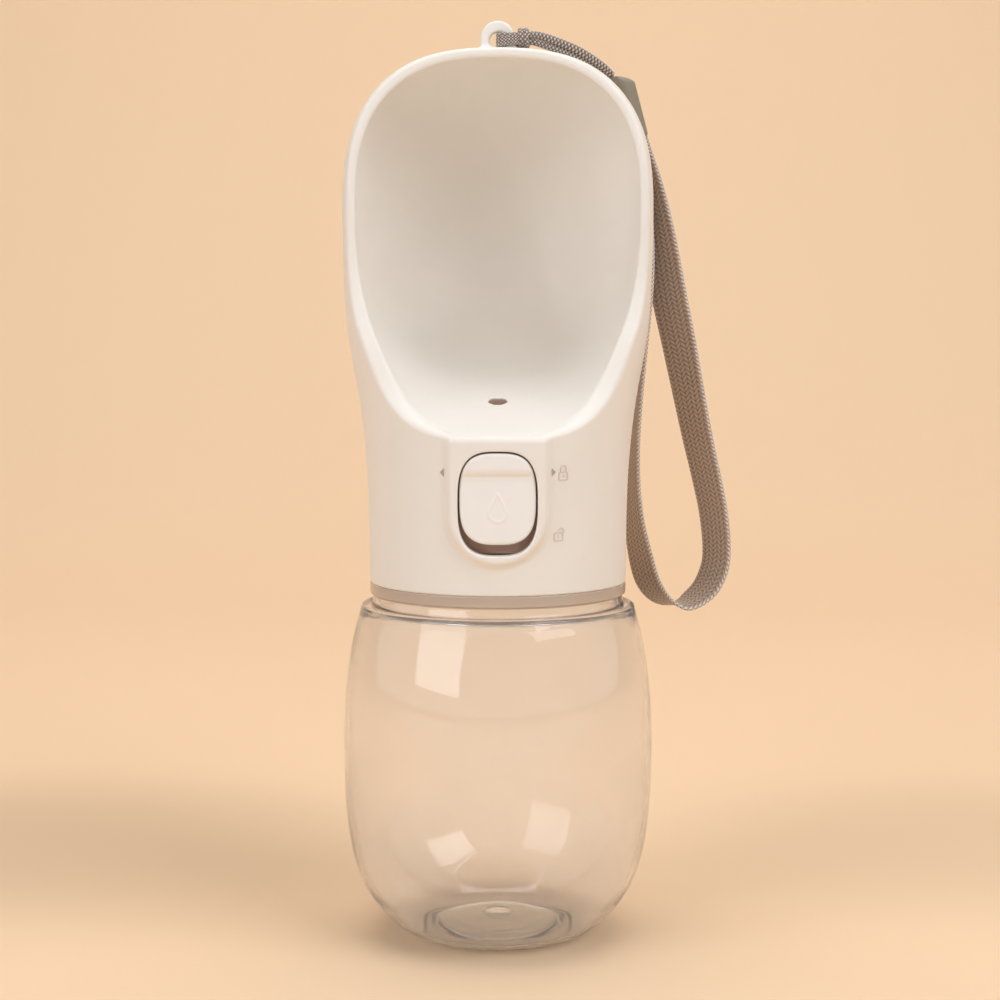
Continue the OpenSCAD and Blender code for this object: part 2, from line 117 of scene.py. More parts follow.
def catmull(pts, m):
    """Points along a smooth curve through pts, m to each span."""
    p = np.array(pts, float)
    out = []
    n = len(p) - 1
    for i in range(n):
        a, b, c, d = p[max(i - 1, 0)], p[i], p[i + 1], p[min(i + 2, n)]
        for k in range(m):
            t = k / m
            out.append(0.5 * (2 * b + (c - a) * t + (2 * a - 5 * b + 4 * c - d) * t * t + (3 * b - a - 3 * c + d) * t**3))
    out.append(p[-1])
    return np.array(out)


def resample(p, n):
    """n points evenly spaced along a polyline."""
    s = np.concatenate([[0], np.cumsum(np.linalg.norm(np.diff(p, axis=0), axis=1))])
    t = np.linspace(0, s[-1], n)
    return np.stack([np.interp(t, s, p[:, k]) for k in range(p.shape[1])], 1)


def new_mesh(name, verts, faces, smooth=True, uvs=None):
    me = bpy.data.meshes.new(name)
    me.from_pydata([tuple(v) for v in (np.asarray(verts) * MM)], [], [tuple(int(i) for i in f) for f in faces])
    me.validate()
    me.update()
    if smooth:
        me.polygons.foreach_set("use_smooth", [True] * len(me.polygons))
    if uvs is not None:
        layer = me.uv_layers.new(name="UVMap")
        uvs = np.asarray(uvs)
        idx = np.zeros(len(me.loops), dtype=np.int64)
        me.loops.foreach_get("vertex_index", idx)
        layer.data.foreach_set("uv", uvs[idx].ravel())
    obj = bpy.data.objects.new(name, me)
    scene.collection.objects.link(obj)
    return obj


# ---------------------------------------------------------------- material nodes
def material(name):
    mat = bpy.data.materials.new(name)
    mat.use_nodes = True
    nt = mat.node_tree
    nt.nodes.clear()
    out = nt.nodes.new("ShaderNodeOutputMaterial")
    bsdf = nt.nodes.new("ShaderNodeBsdfPrincipled")
    nt.links.new(bsdf.outputs["BSDF"], out.inputs["Surface"])
    return mat, nt, bsdf


def noise(nt, scale, detail=3.0, rough=0.55, coords="Object", stretch=None):
    tc = nt.nodes.new("ShaderNodeTexCoord")
    n = nt.nodes.new("ShaderNodeTexNoise")
    n.inputs["Scale"].default_value = scale
    n.inputs["Detail"].default_value = detail
    n.inputs["Roughness"].default_value = rough
    src = tc.outputs[coords]
    if stretch:
        mp = nt.nodes.new("ShaderNodeMapping")
        mp.inputs["Scale"].default_value = stretch
        nt.links.new(src, mp.inputs["Vector"])
        src = mp.outputs["Vector"]
    nt.links.new(src, n.inputs["Vector"])
    return n.outputs["Fac"]


def ramp(nt, fac, stops):
    r = nt.nodes.new("ShaderNodeValToRGB")
    cr = r.color_ramp
    while len(cr.elements) < len(stops):
        cr.elements.new(0.5)
    for e, (pos, col) in zip(cr.elements, stops):
        e.position = pos
        e.color = col
    nt.links.new(fac, r.inputs["Fac"])
    return r.outputs["Color"]


def map_range(nt, fac, a, b, c, d):
    m = nt.nodes.new("ShaderNodeMapRange")
    m.inputs["From Min"].default_value = a
    m.inputs["From Max"].default_value = b
    m.inputs["To Min"].default_value = c
    m.inputs["To Max"].default_value = d
    nt.links.new(fac, m.inputs["Value"])
    return m.outputs["Result"]


def bump(nt, bsdf, height, strength, distance, normal=None):
    b = nt.nodes.new("ShaderNodeBump")
    b.inputs["Strength"].default_value = strength
    b.inputs["Distance"].default_value = distance
    nt.links.new(height, b.inputs["Height"])
    if normal is not None:
        nt.links.new(normal, b.inputs["Normal"])
    nt.links.new(b.outputs["Normal"], bsdf.inputs["Normal"])
    return b.outputs["Normal"]


def plastic(name, light, dark, rough=(0.36, 0.46), grain=0.04, subsurface=0.0, coat=0.0):
    """Moulded plastic: faint flow marks in colour, fine spark-eroded grain, uneven gloss."""
    mat, nt, bsdf = material(name)
    cloud = noise(nt, 55.0, 4.0, 0.6)
    col = ramp(nt, cloud, [(0.3, dark), (0.7, light)])
    nt.links.new(col, bsdf.inputs["Base Color"])
    speck = noise(nt, 900.0, 2.0, 0.5)
    nt.links.new(map_range(nt, speck, 0.3, 0.7, rough[0], rough[1]), bsdf.inputs["Roughness"])
    fine = noise(nt, 3200.0, 2.0, 0.6)
    n1 = bump(nt, bsdf, fine, grain, 0.00012)
    wave = noise(nt, 26.0, 1.0, 0.4)
    bump(nt, bsdf, wave, 0.05, 0.0015, n1)
    bsdf.inputs["IOR"].default_value = 1.48
    if subsurface:
        bsdf.inputs["Subsurface Weight"].default_value = subsurface
        bsdf.inputs["Subsurface Radius"].default_value = (0.004, 0.003, 0.002)
        bsdf.inputs["Subsurface Scale"].default_value = 0.6
    if coat:
        bsdf.inputs["Coat Weight"].default_value = coat
        bsdf.inputs["Coat Roughness"].default_value = 0.2
    return mat


M_WHITE = plastic("white_plastic", rgb(245, 239, 231), rgb(242, 236, 228), (0.38, 0.48), 0.05, 0.06)
M_BUTTON = plastic("button_plastic", rgb(249, 245, 241), rgb(246, 242, 237), (0.34, 0.44), 0.04, 0.05)
# painted shade: the white plastic inside the drain hole, coloured darker and warmer where it lies in shadow
M_BORE_SHADE = plastic("bore_painted_shade", rgb(186, 158, 140), rgb(176, 147, 129), (0.5, 0.6), 0.05, 0.1)
# painted shade: the pointers and padlocks are moulded in the shell's own white; these darker tones stand in for the
# shade along their relief
M_LOCK_SHADE = plastic("lock_painted_shade", rgb(224, 213, 202), rgb(218, 206, 195), (0.5, 0.6), 0.05)
M_MARK_SHADE = plastic("mark_painted_shade", rgb(190, 176, 164), rgb(180, 165, 152), (0.5, 0.6), 0.05)
# painted shade: the slider's warm pinkish tone gives the gap under the button the warm brown of its shade
M_SLIDER_PAINTED_SHADE = plastic("slider_plastic", rgb(240, 198, 176), rgb(232, 190, 168), (0.4, 0.5), 0.06)
M_INNER = plastic("inner_plastic", rgb(226, 221, 213), rgb(219, 213, 205), (0.4, 0.5), 0.05)
M_CLIP = plastic("clip_plastic", rgb(150, 141, 125), rgb(141, 132, 116), (0.38, 0.5), 0.12)
M_SILICONE = plastic("silicone", rgb(226, 222, 216), rgb(214, 209, 202), (0.5, 0.62), 0.05, 0.1)
M_RUBBER = plastic("black_rubber", rgb(38, 37, 37), rgb(28, 27, 27), (0.5, 0.65), 0.1)


def metal(name, colour, rough):
    mat, nt, bsdf = material(name)
    n = noise(nt, 400.0, 3.0, 0.6, stretch=(1.0, 1.0, 8.0))
    nt.links.new(ramp(nt, n, [(0.3, tuple(c * 0.92 for c in colour[:3]) + (1.0,)), (0.7, colour)]), bsdf.inputs["Base Color"])
    nt.links.new(map_range(nt, n, 0.3, 0.7, rough - 0.05, rough + 0.08), bsdf.inputs["Roughness"])
    bsdf.inputs["Metallic"].default_value = 1.0
    bump(nt, bsdf, n, 0.05, 0.0001)
    return mat


M_STEEL = metal("steel", rgb(205, 207, 210), 0.22)


def clear(name):
    """Clear moulded plastic, very slightly warm, with faint ripples from blowing."""
    mat, nt, bsdf = material(name)
    n = noise(nt, 60.0, 2.0, 0.5)
    nt.links.new(ramp(nt, n, [(0.3, rgb(250, 249, 248)), (0.7, rgb(252, 251, 250))]), bsdf.inputs["Base Color"])
    nt.links.new(map_range(nt, noise(nt, 300.0, 3.0, 0.6), 0.35, 0.75, 0.015, 0.05), bsdf.inputs["Roughness"])
    bsdf.inputs["Transmission Weight"].default_value = 1.0
    bsdf.inputs["IOR"].default_value = 1.47
    bump(nt, bsdf, noise(nt, 38.0, 1.0, 0.3), 0.12, 0.0012)
    return mat


def lets_light_in(mat, share):
    """The lamps shine through the thin wall, so that its shadow is light."""
    nt = mat.node_tree
    out, bsdf = nt.nodes["Material Output"], nt.nodes["Principled BSDF"]
    lp = nt.nodes.new("ShaderNodeLightPath")
    tr = nt.nodes.new("ShaderNodeBsdfTransparent")
    tr.inputs["Color"].default_value = (0.97, 0.95, 0.93, 1)
    mix = nt.nodes.new("ShaderNodeMixShader")
    nt.links.new(map_range(nt, lp.outputs["Is Shadow Ray"], 0, 1, 0, share), mix.inputs[0])
    nt.links.new(bsdf.outputs["BSDF"], mix.inputs[1])
    nt.links.new(tr.outputs["BSDF"], mix.inputs[2])
    nt.links.new(mix.outputs[0], out.inputs["Surface"])


M_CLEAR = clear("clear_plastic")
M_CLEAR.node_tree.nodes["Principled BSDF"].inputs["Transmission Weight"].default_value = 0.94
lets_light_in(M_CLEAR, 0.4)
# painted light: the clear support ring gets a milky pinkish colour that stands in for the light it carries in from its
# sides and the white shell it mirrors
M_RING_PAINTED_LIGHT = plastic("ring_painted_light", rgb(255, 236, 217), rgb(251, 229, 210), (0.05, 0.12), 0.02, 0.1)
M_RING_PAINTED_LIGHT.node_tree.nodes["Principled BSDF"].inputs["Transmission Weight"].default_value = 0.5

# ---------------------------------------------------------------- wrist loop
CORD_ROUTE = [[27.6, 17, 207.3], [25, 14.6, 209.3], [20, 10.8, 212], [15, 7.8, 213.8],
              [10.5, 4.8, 215], [7, 2.7, 215.6], [4.8, 0, 215.6], [3, -0.75, 215.5],
              [1.1, 0, 215.3], [0.75, 2, 214.9], [1.1, 4, 214.5], [3, 4.75, 214.2],
              [4.9, 4.2, 214], [7, 3.3, 213.8], [10.5, 5.2, 213.1], [15, 8, 211.9],
              [20, 11.3, 210.1], [24, 14.6, 208], [27, 17.6, 206.6]]
WEB_ROUTE = [[31, 20, 196.4], [32.6, 20.8, 191], [34.6, 20.6, 183], [36.2, 19.6, 173],
             [37, 18.4, 162], [36.8, 17.6, 152], [35.9, 17.2, 142], [34.7, 17, 130],
             [33.8, 17, 118], [33.6, 17, 107], [34.1, 17, 98.4], [35.2, 17, 91],
             [37.5, 17, 82.8], [41.2, 17, 78.4], [46, 17, 77.3], [50.6, 17, 80],
             [53.4, 17, 84.4], [54.5, 17, 90], [53.7, 17, 99.6], [51.8, 17, 109],
             [49.6, 17, 118.4], [47.2, 17.2, 130], [44.8, 17.6, 142], [42.3, 18.2, 154],
             [39.8, 19, 168], [37.4, 20.2, 180], [34.7, 21, 190], [32.7, 20.8, 196.6]]
WEB_TURN = [60, 61, 66, 72, 78, 82, 83, 82, 80, 75, 68, 58, 54, 54, 54, 54, 53, 53,
            51, 49, 47, 43, 38, 35, 40, 50, 59, 60]


def paint(obj, name, values):
    """Stores one number a vertex, the weave's height, which the material paints as shade in the gaps and highlight on
    the crowns.
    """
    at = obj.data.attributes.new(name, "FLOAT", "POINT")
    at.data.foreach_set("value", np.asarray(values, dtype=np.float32))


def frames(p):
    """Turning-free cross directions along a path."""
    t = np.gradient(p, axis=0)
    t /= np.linalg.norm(t, axis=1, keepdims=True)
    n = np.zeros_like(t)
    a = np.cross(t[0], [0.1, 0.2, 1.0])
    n[0] = a / np.linalg.norm(a)
    for i in range(1, len(p)):
        v = n[i - 1] - t[i] * np.dot(n[i - 1], t[i])
        n[i] = v / np.linalg.norm(v)
    return t, n, np.cross(t, n)


def braid_data(route, radius, strands=5, pitch=4.2, step=0.1, sides=40, closed=False):
    """A braided cord: strands cross over and under each other round a core. radius is one number or one a point."""
    n = max(8, int(np.linalg.norm(np.diff(route, axis=0), axis=1).sum() / step))
    if np.ndim(radius):
        both = resample(np.concatenate([route, np.asarray(radius)[:, None]], 1), n)
        p, rad = both[:, :3], both[:, 3:]
    else:
        p, rad = resample(route, n), np.full((n, 1), float(radius))
    t, nn, bb = frames(p)
    if closed:
        # share the leftover twist out along the ring
        v = nn[0] - t[-1] * np.dot(nn[0], t[-1])
        v /= np.linalg.norm(v)
        ang = math.atan2(np.dot(np.cross(nn[-1], v), t[-1]), np.dot(nn[-1], v))
        w = np.linspace(0, ang, n)[:, None]
        nn, bb = nn * np.cos(w) + bb * np.sin(w), bb * np.cos(w) - nn * np.sin(w)
    s = np.concatenate([[0], np.cumsum(np.linalg.norm(np.diff(p, axis=0), axis=1))])
    th = np.arange(sides) * 2 * math.pi / sides
    S, T = np.meshgrid(s, th, indexing="ij")
    u = strands * T / (2 * math.pi) + strands * S / pitch
    v = strands * T / (2 * math.pi) - strands * S / pitch
    iu, iv = np.floor(u), np.floor(v)
    a, b = 2 * (u - iu) - 1, 2 * (v - iv) - 1
    even = np.mod(iu + iv, 2) < 0.5
    across, along = np.where(even, b, a), np.where(even, a, b)
    h = np.sqrt(np.clip(1 - 0.97 * across**2, 0, 1)) * (1 - 0.62 * along**2)
    r = rad * (0.80 + 0.24 * h)
    verts = p[:, None, :] + nn[:, None, :] * (r * np.cos(T))[..., None] + bb[:, None, :] * (r * np.sin(T))[..., None]
    idx = np.arange(n * sides).reshape(n, sides)
    faces = []
    for i in range(n if closed else n - 1):
        A, B = idx[i], idx[(i + 1) % n]
        faces.append(np.stack([A, np.roll(A, -1), np.roll(B, -1), B], 1))
    faces = np.concatenate(faces).tolist()
    if not closed:
        faces.append(idx[0][::-1].tolist())
        faces.append(idx[-1].tolist())
    # the strand height also goes out as the weave value, which the material paints as shade in the gaps and highlight
    # on the crowns
    return verts.reshape(-1, 3), faces, (h**1.5).ravel()


def braids(name, parts):
    """One piece from several braided lengths."""
    verts, faces, vals, base = [], [], [], 0
    for v, f, h in parts:
        verts.append(v)
        faces += [[i + base for i in q] for q in f]
        vals.append(h)
        base += len(v)
    obj = new_mesh(name, np.concatenate(verts), faces)
    paint(obj, "weave", np.concatenate(vals))
    obj.data.materials.append(M_CORD)
    return obj


def thread_material(name, low, mid, high, glint):
    """Polyester thread: painted shade darkens it between the threads and a painted highlight brightens it on their
    crowns, up to a painted glint; the crowns are also shinier.
    """
    mat, nt, bsdf = material(name)
    at = nt.nodes.new("ShaderNodeAttribute")
    at.attribute_name = "weave"
    col = ramp(nt, at.outputs["Fac"], [(0.12, low), (0.5, mid), (0.85, high), (1.0, glint)])
    fibre = noise(nt, 1500.0, 3.0, 0.6)
    mix = nt.nodes.new("ShaderNodeMix")
    mix.data_type = "RGBA"
    mix.blend_type = "MULTIPLY"
    mix.inputs[0].default_value = 0.55
    nt.links.new(col, mix.inputs[6])
    nt.links.new(ramp(nt, fibre, [(0.25, (0.62, 0.6, 0.58, 1)), (0.75, (1, 1, 1, 1))]), mix.inputs[7])
    nt.links.new(mix.outputs[2], bsdf.inputs["Base Color"])
    nt.links.new(map_range(nt, at.outputs["Fac"], 0.2, 1.0, 0.75, 0.42), bsdf.inputs["Roughness"])
    bsdf.inputs["Sheen Weight"].default_value = 0.25
    bsdf.inputs["Sheen Roughness"].default_value = 0.4
    bump(nt, bsdf, noise(nt, 4200.0, 2.0, 0.6, stretch=(1.0, 1.0, 0.35)), 0.35, 0.00005)
    return mat


M_CORD = thread_material("cord_braid", rgb(78, 62, 53), rgb(150, 133, 121), rgb(208, 198, 190), rgb(246, 242, 238))
M_WEB = thread_material("loop_weave", rgb(90, 73, 62), rgb(176, 154, 138), rgb(212, 195, 180), rgb(252, 250, 248))


def build_cord():
    """Both legs of the thin cord and the turn round the eye; the upper leg is the fuller one."""
    length = np.linalg.norm(np.diff(catmull(CORD_ROUTE, 14), axis=0), axis=1).sum()
    pts = [[27.6, 17, 207.3, 1.12], [25, 14.6, 209.3, 1.15], [20, 10.8, 212.0, 1.15], [15, 7.8, 213.8, 1.1], [10.5, 4.8, 214.95, 1.0],
           [8.0, 3.1, 215.15, 0.85], [6.4, 1.8, 214.95, 0.6], [5.2, 1.0, 214.85, 0.54], [4.2, 0.05, 214.8, 0.53], [3.0, -0.45, 214.65, 0.53],
           [1.8, -0.5, 214.7, 0.53], [0.6, 0.0, 214.75, 0.53],
           [0.1, 1.6, 214.75, 0.53], [0.5, 3.6, 214.7, 0.53], [2.2, 4.5, 214.4, 0.53], [4.4, 4.3, 214.0, 0.55], [6.5, 3.5, 213.7, 0.66],
           [8.0, 3.7, 213.6, 0.76], [10.5, 5.2, 213.1, 0.78], [15, 8, 211.9, 0.78], [20, 11.3, 210.1, 0.78], [24, 14.6, 208, 0.78],
           [27, 17.6, 206.6, 0.78]]
    c = catmull(pts, 12)
    obj = braids("wrist_cord", [braid_data(c[:, :3], c[:, 3], strands=4, pitch=4.2, step=0.12, sides=40)])
    return obj, catmull(CORD_ROUTE, 14), length


def build_knot():
    """The hitch: parallel turns through the eye, drawn together by a collar of two turns."""
    turns = []
    for zl, zr, out in ((213.95, 214.25, -0.05), (213.2, 213.65, -0.1), (212.45, 212.95, 0.0)):
        pts = [[6.6, 1.9, zr - 0.1], [5.2, 1.0, zr], [4.2, 0.1, zr], [3.0, -0.35 + out, (zr * 2 + zl) / 3 + 0.05], [1.8, -0.4 + out, (zr + 2 * zl) / 3],
               [0.6, 0.0, zl], [0.1, 1.5, zl - 0.05], [0.5, 3.6, zl - 0.1], [2.2, 4.45, (zr + 2 * zl) / 3 - 0.1], [4.4, 4.3, zr - 0.2],
               [6.6, 3.3, zr - 0.2]]
        turns.append(braid_data(catmull(pts, 10), 0.53, strands=4, pitch=2.9, step=0.1, sides=34))
    a = braids("knot_wraps", turns)
    rings = []
    for x, lean in ((5.7, 0.2), (6.9, 0.1)):
        ring = []
        for k in range(64):
            q = 2 * math.pi * k / 64
            y, z = 2.2 * math.cos(q), 1.78 * math.sin(q)
            ring.append([x + lean * math.cos(2 * q) - 0.05 * z + 0.12 * y, 2.6 + y, 214.3 + z])
        rings.append(braid_data(np.array(ring), 0.66, strands=4, pitch=3.4, step=0.1, sides=34, closed=True))
    b = braids("knot_collar", rings)
    return a, b


def build_webbing():
    """Flat braided tape: diagonal stitches in columns that lean to and fro, a corded edge along each side."""
    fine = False
    n = 700 if fine else 1500
    route = catmull([r + [a] for r, a in zip(WEB_ROUTE, WEB_TURN)], 16)
    d = resample(route[:, :3], n)
    s0 = np.concatenate([[0], np.cumsum(np.linalg.norm(np.diff(route[:, :3], axis=0), axis=1))])
    ang = np.radians(np.interp(np.linspace(0, s0[-1], n), s0, route[:, 3]))
    t = np.gradient(d, axis=0)
    t /= np.linalg.norm(t, axis=1, keepdims=True)
    w = np.stack([np.cos(ang), -np.sin(ang), 0 * ang], 1)
    w -= t * (w * t).sum(1, keepdims=True)
    w /= np.linalg.norm(w, axis=1, keepdims=True)
    h = np.cross(t, w)
    L = s0[-1]
    s = np.linspace(0, L, n)
    m = 26 if fine else 46
    half, thick = 4.95, 0.5
    v = np.linspace(-half, half, m)
    cols, pitch = 1.42, 1.18

    def relief(S, V, side):
        edge = np.clip((np.abs(V) - 4.25) / 0.3, 0, 1)
        c = np.floor(V / cols + 0.5)
        x = V / cols + 0.5 - c - 0.5
        lean = np.where(np.mod(c, 2) < 0.5, 1.0, -1.0) * side
        ph = (S + lean * x * cols * 0.9) / pitch
        f = ph - np.floor(ph) - 0.5
        stitch = np.sqrt(np.clip(1 - (2 * f) ** 2 * 0.98, 0, 1))
        stitch *= 1 - 0.45 * np.clip(np.abs(2 * x), 0, 1) ** 3
        ph2 = (S * 1.0 + (np.abs(V) - 4.6) * 0.9) / 1.02
        f2 = ph2 - np.floor(ph2) - 0.5
        cord = np.sqrt(np.clip(1 - (2 * f2) ** 2 * 0.98, 0, 1))
        return stitch * (1 - edge) + cord * edge, edge

    S, V = np.meshgrid(s, v, indexing="ij")
    ft, et = relief(S, V, 1.0)
    fb, eb = relief(S + 0.5, V, -1.0)
    # thickness profile across: the edges are rounder and a little fuller
    crown = np.sqrt(np.clip(1 - (V / (half + 0.02)) ** 14, 0, 1))
    ht = thick * crown - 0.13 * (1 - ft) + 0.05 * et
    hb = thick * crown - 0.13 * (1 - fb) + 0.05 * eb
    wv = V + 0.0
    # the sides step in and out with the edge stitches
    wv = wv + np.sign(V) * 0.1 * (np.clip(np.abs(V) - 4.3, 0, 1) / 0.65) * (ft - 0.6)
    top = d[:, None, :] + w[:, None, :] * wv[..., None] + h[:, None, :] * ht[..., None]
    bot = d[:, None, :] + w[:, None, :] * wv[..., None] - h[:, None, :] * hb[..., None]
    e1 = d[:, None, :] + w[:, None, :] * (half + 0.12 * (ft[:, -1:] - 0.4))[..., None]
    e0 = d[:, None, :] - w[:, None, :] * (half + 0.12 * (ft[:, :1] - 0.4))[..., None]
    ring = np.concatenate([top, e1, bot[:, ::-1], e0], 1)
    # the weave value paints shade in the gaps and highlight on the stitches; the corded edges get a little extra, a
    # painted highlight along them
    val = np.concatenate([0.82 * ft + 0.18 * ft * et, ft[:, -1:], 0.82 * fb[:, ::-1] + 0.18 * (fb * eb)[:, ::-1], ft[:, :1]], 1)
    k = ring.shape[1]
    verts = ring.reshape(-1, 3)
    idx = np.arange(n * k).reshape(n, k)
    faces = []
    A, B = idx[:-1], idx[1:]
    faces = np.stack([A, np.roll(A, -1, 1), np.roll(B, -1, 1), B], 2).reshape(-1, 4).tolist()
    for row, rev in ((idx[0], True), (idx[-1], False)):
        tq = row[:m]
        bq = row[m + 1:2 * m + 1][::-1]
        for j in range(m - 1):
            q = [tq[j], tq[j + 1], bq[j + 1], bq[j]]
            faces.append(q[::-1] if not rev else q)
        for tri in ((tq[-1], row[m], bq[-1]), (tq[0], bq[0], row[-1])):
            faces.append(tri[::-1] if not rev else tri)
    obj = new_mesh("wrist_webbing", verts, faces)
    paint(obj, "weave", val.ravel())
    obj.data.materials.append(M_WEB)
    return obj, route[:, :3], L


def build_clip():
    """Moulded crimp clip: rounded block with a pocket at each end."""
    w, dpt, hgt, e = 4.4, 11.6, 16.4, 0.7
    seg = 16

    def section(hx, hy, r, z):
        pts = []
        r = min(r, hx, hy)
        for cx, cy, a0 in ((hx - r, hy - r, 0), (-hx + r, hy - r, 90), (-hx + r, -hy + r, 180), (hx - r, -hy + r, 270)):
            for k in range(seg):
                a = math.radians(a0 + 90 * k / (seg - 1))
                pts.append((cx + r * math.cos(a), cy + r * math.sin(a), z))
        return pts

    X, Y, Z = w / 2, dpt / 2, hgt / 2
    rings = []
    # inside of the foot pocket, lip, wall, top lip, top pocket
    rings.append(section(1.0, Y - 0.9, 0.4, -Z + 2.6))
    rings.append(section(1.0, Y - 0.9, 0.4, -Z + 0.35))
    rings.append(section(1.2, Y - 0.7, 0.5, -Z + 0.05))
    for k in range(7):
        a = math.radians(15 + 75 * k / 6)
        rings.append(section(X - e + e * math.sin(a), Y - e + e * math.sin(a), 1.5, -Z + e - e * math.cos(a)))
    for z in np.linspace(-Z + e + 1.2, Z - 2.6, 12):
        rings.append(section(X, Y, 1.5, z))
    for k in range(9):
        a = math.radians(90 * k / 8)
        rings.append(section(X - 1.0 + 1.0 * math.cos(a), Y - 2.2 + 2.2 * math.cos(a), 1.5, Z - 2.0 + 2.0 * math.sin(a)))
    rings.append(section(0.9, 2.3, 0.6, Z - 0.05))
    rings.append(section(0.8, 2.2, 0.6, Z - 0.4))
    rings.append(section(0.8, 2.2, 0.6, Z - 2.4))
    c, sn = math.cos(math.radians(30)), math.sin(math.radians(30))
    ct, st = math.cos(math.radians(-18)), math.sin(math.radians(-18))
    verts, faces = [], []
    for ring in rings:
        for x, y, z in ring:
            z -= min(max((z - Z + 4.5) / 4.5, 0), 1) * (x + X) * 0.55
            x1, z1 = x * ct + z * st, -x * st + z * ct
            verts.append((30.5 + x1 * c - y * sn, 19 + x1 * sn + y * c, 200.0 + z1))
    k = len(rings[0])
    for i in range(len(rings) - 1):
        for j in range(k):
            l = (j + 1) % k
            faces.append((i * k + j, i * k + l, (i + 1) * k + l, (i + 1) * k + j))
    faces.append(tuple(range(k))[::-1])
    faces.append(tuple(range((len(rings) - 1) * k, len(rings) * k)))
    obj = new_mesh("wrist_clip", verts, faces)
    obj.data.materials.append(M_CLIP)
    return obj


wrist_cord, cord_path, cord_len = build_cord()
knot_wraps, knot_collar = build_knot()
wrist_webbing, web_path, web_len = build_webbing()
wrist_clip = build_clip()
for piece in (knot_collar, wrist_webbing, wrist_clip):
    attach(piece, "lanyard")
for piece in (wrist_cord, knot_wraps):
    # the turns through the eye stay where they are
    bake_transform(piece)
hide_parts("lanyard_cord")
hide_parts("cord_knot")
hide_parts("lanyard_webbing")
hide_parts("lanyard_clip")

# ---------------------------------------------------------------- head: one smooth shell
HEAD = pchip([(80, 30.72), (85.4, 30.75), (93, 30.8), (102, 30.9), (110, 31.15), (118, 31.7), (125, 32.45), (132, 33.5),
              (138.5, 34.7), (145.5, 35.75), (152, 36.3), (158, 36.55), (165, 36.75), (172.4, 36.85)])
ZW, DOME_H, SCOOP_R, WALL = 172.4, 39.4, 36.85, 2.35
RIM = [(-60, 121.7), (-48, 121.7), (-38, 121.7), (-33, 121.7), (-30.4, 121.8), (-29, 122.3), (-27.5, 123.2), (-25.7, 124.6),
       (-23.4, 127), (-21, 130.5), (-19.4, 134), (-18.3, 137.5), (-17, 141.5), (-15.4, 145.5), (-14, 148.5),
       (-11.8, 156), (-10.9, 164), (-10.8, 172), (-10.5, 180), (-10.1, 188), (-9.4, 196), (-8.6, 204),
       (-7.8, 214), (-7.4, 226), (-7.2, 245)]
RIM_LINE = catmull(RIM, 6)
EYE_C = (0.0, 2.0, 214.8)
DRAIN = (0.0, -6.0)


def rmax(a, b, r):
    return np.minimum(-r, np.maximum(a, b)) + np.hypot(np.maximum(a + r, 0), np.maximum(b + r, 0))


def rmin(a, b, r):
    return -rmax(-a, -b, r)


def ease(t):
    t = np.clip(t, 0, 1)
    return t * t * (3 - 2 * t)


def smax(a, b, k):
    h = np.maximum(k - np.abs(a - b), 0) / k
    return np.maximum(a, b) + h * h * k / 4


def revolve_d(rho, z, inset):
    """Distance outside the head's outer surface drawn in by inset."""
    low = rho - (HEAD(np.minimum(z, ZW)) - inset)
    r, h = SCOOP_R - inset, DOME_H - inset
    t = np.maximum(z - ZW, 0)
    g = ((rho / r) ** 2.7 + (t / h) ** 2.6 + 1e-12) ** (1 / 2.65)
    high = np.hypot(rho, t) * (1 - 1 / g)
    return np.where(z > ZW, high, low)


def rim_exact(y, z):
    """Signed distance to the rim's side line, positive in front of it."""
    p = RIM_LINE
    best = np.full(y.shape, 1e9)
    sign = np.ones(y.shape)
    for (y0, z0), (y1, z1) in zip(p[:-1], p[1:]):
        dy, dz = y1 - y0, z1 - z0
        t = np.clip(((y - y0) * dy + (z - z0) * dz) / (dy * dy + dz * dz), 0, 1)
        ey, ez = y - (y0 + t * dy), z - (z0 + t * dz)
        d = ey * ey + ez * ez
        m = d < best - 1e-9
        best = np.where(m, d, best)
        s = np.where(dy * (z - z0) - dz * (y - y0) > 0, 1.0, -1.0)
        sign = np.where(m, s, sign)
    return np.sqrt(best) * sign


RY, RZ, RS = np.arange(-46, 46.01, 0.2), np.arange(80, 226.01, 0.2), 0.2
RIM_TABLE = rim_exact(*np.meshgrid(RY, RZ, indexing="ij"))


def rim_d(y, z):
    """The same, read from a table worked out once."""
    u = np.clip((y - RY[0]) / RS, 0, len(RY) - 1.001)
    v = np.clip((z - RZ[0]) / RS, 0, len(RZ) - 1.001)
    i, j = u.astype(int), v.astype(int)
    u, v = u - i, v - j
    t = RIM_TABLE
    return (t[i, j] * (1 - u) + t[i + 1, j] * u) * (1 - v) + (t[i, j + 1] * (1 - u) + t[i + 1, j + 1] * u) * v


def floor_z(x, y):
    back = np.maximum(y + 2, 0) / 33.5
    side = np.abs(x) / 34.0
    return 128.69 + 0.3057 * (y + 6) + 14.6 * back**3.6 + 26 * side**3.3


def floor_d(x, y, z, drop):
    back = np.maximum(y + 2, 0) / 33.5
    side = np.abs(x) / 34.0
    gy = 0.3057 + 14.6 * 3.6 / 33.5 * back**2.6
    gx = 26 * 3.3 / 34 * side**2.3
    k = np.sqrt(1 + gx * gx + gy * gy)
    return (floor_z(x, y) - z) / k - drop


def slot_d(x, z, w, h, zc, p=3.0):
    g = ((np.abs(x) / (w / 2)) ** p + (np.abs(z - zc) / (h / 2)) ** p + 1e-12) ** (1 / p)
    return np.hypot(x, z - zc) * (1 - 1 / g)


SLOT = (18.1, 23.6, 106.55)


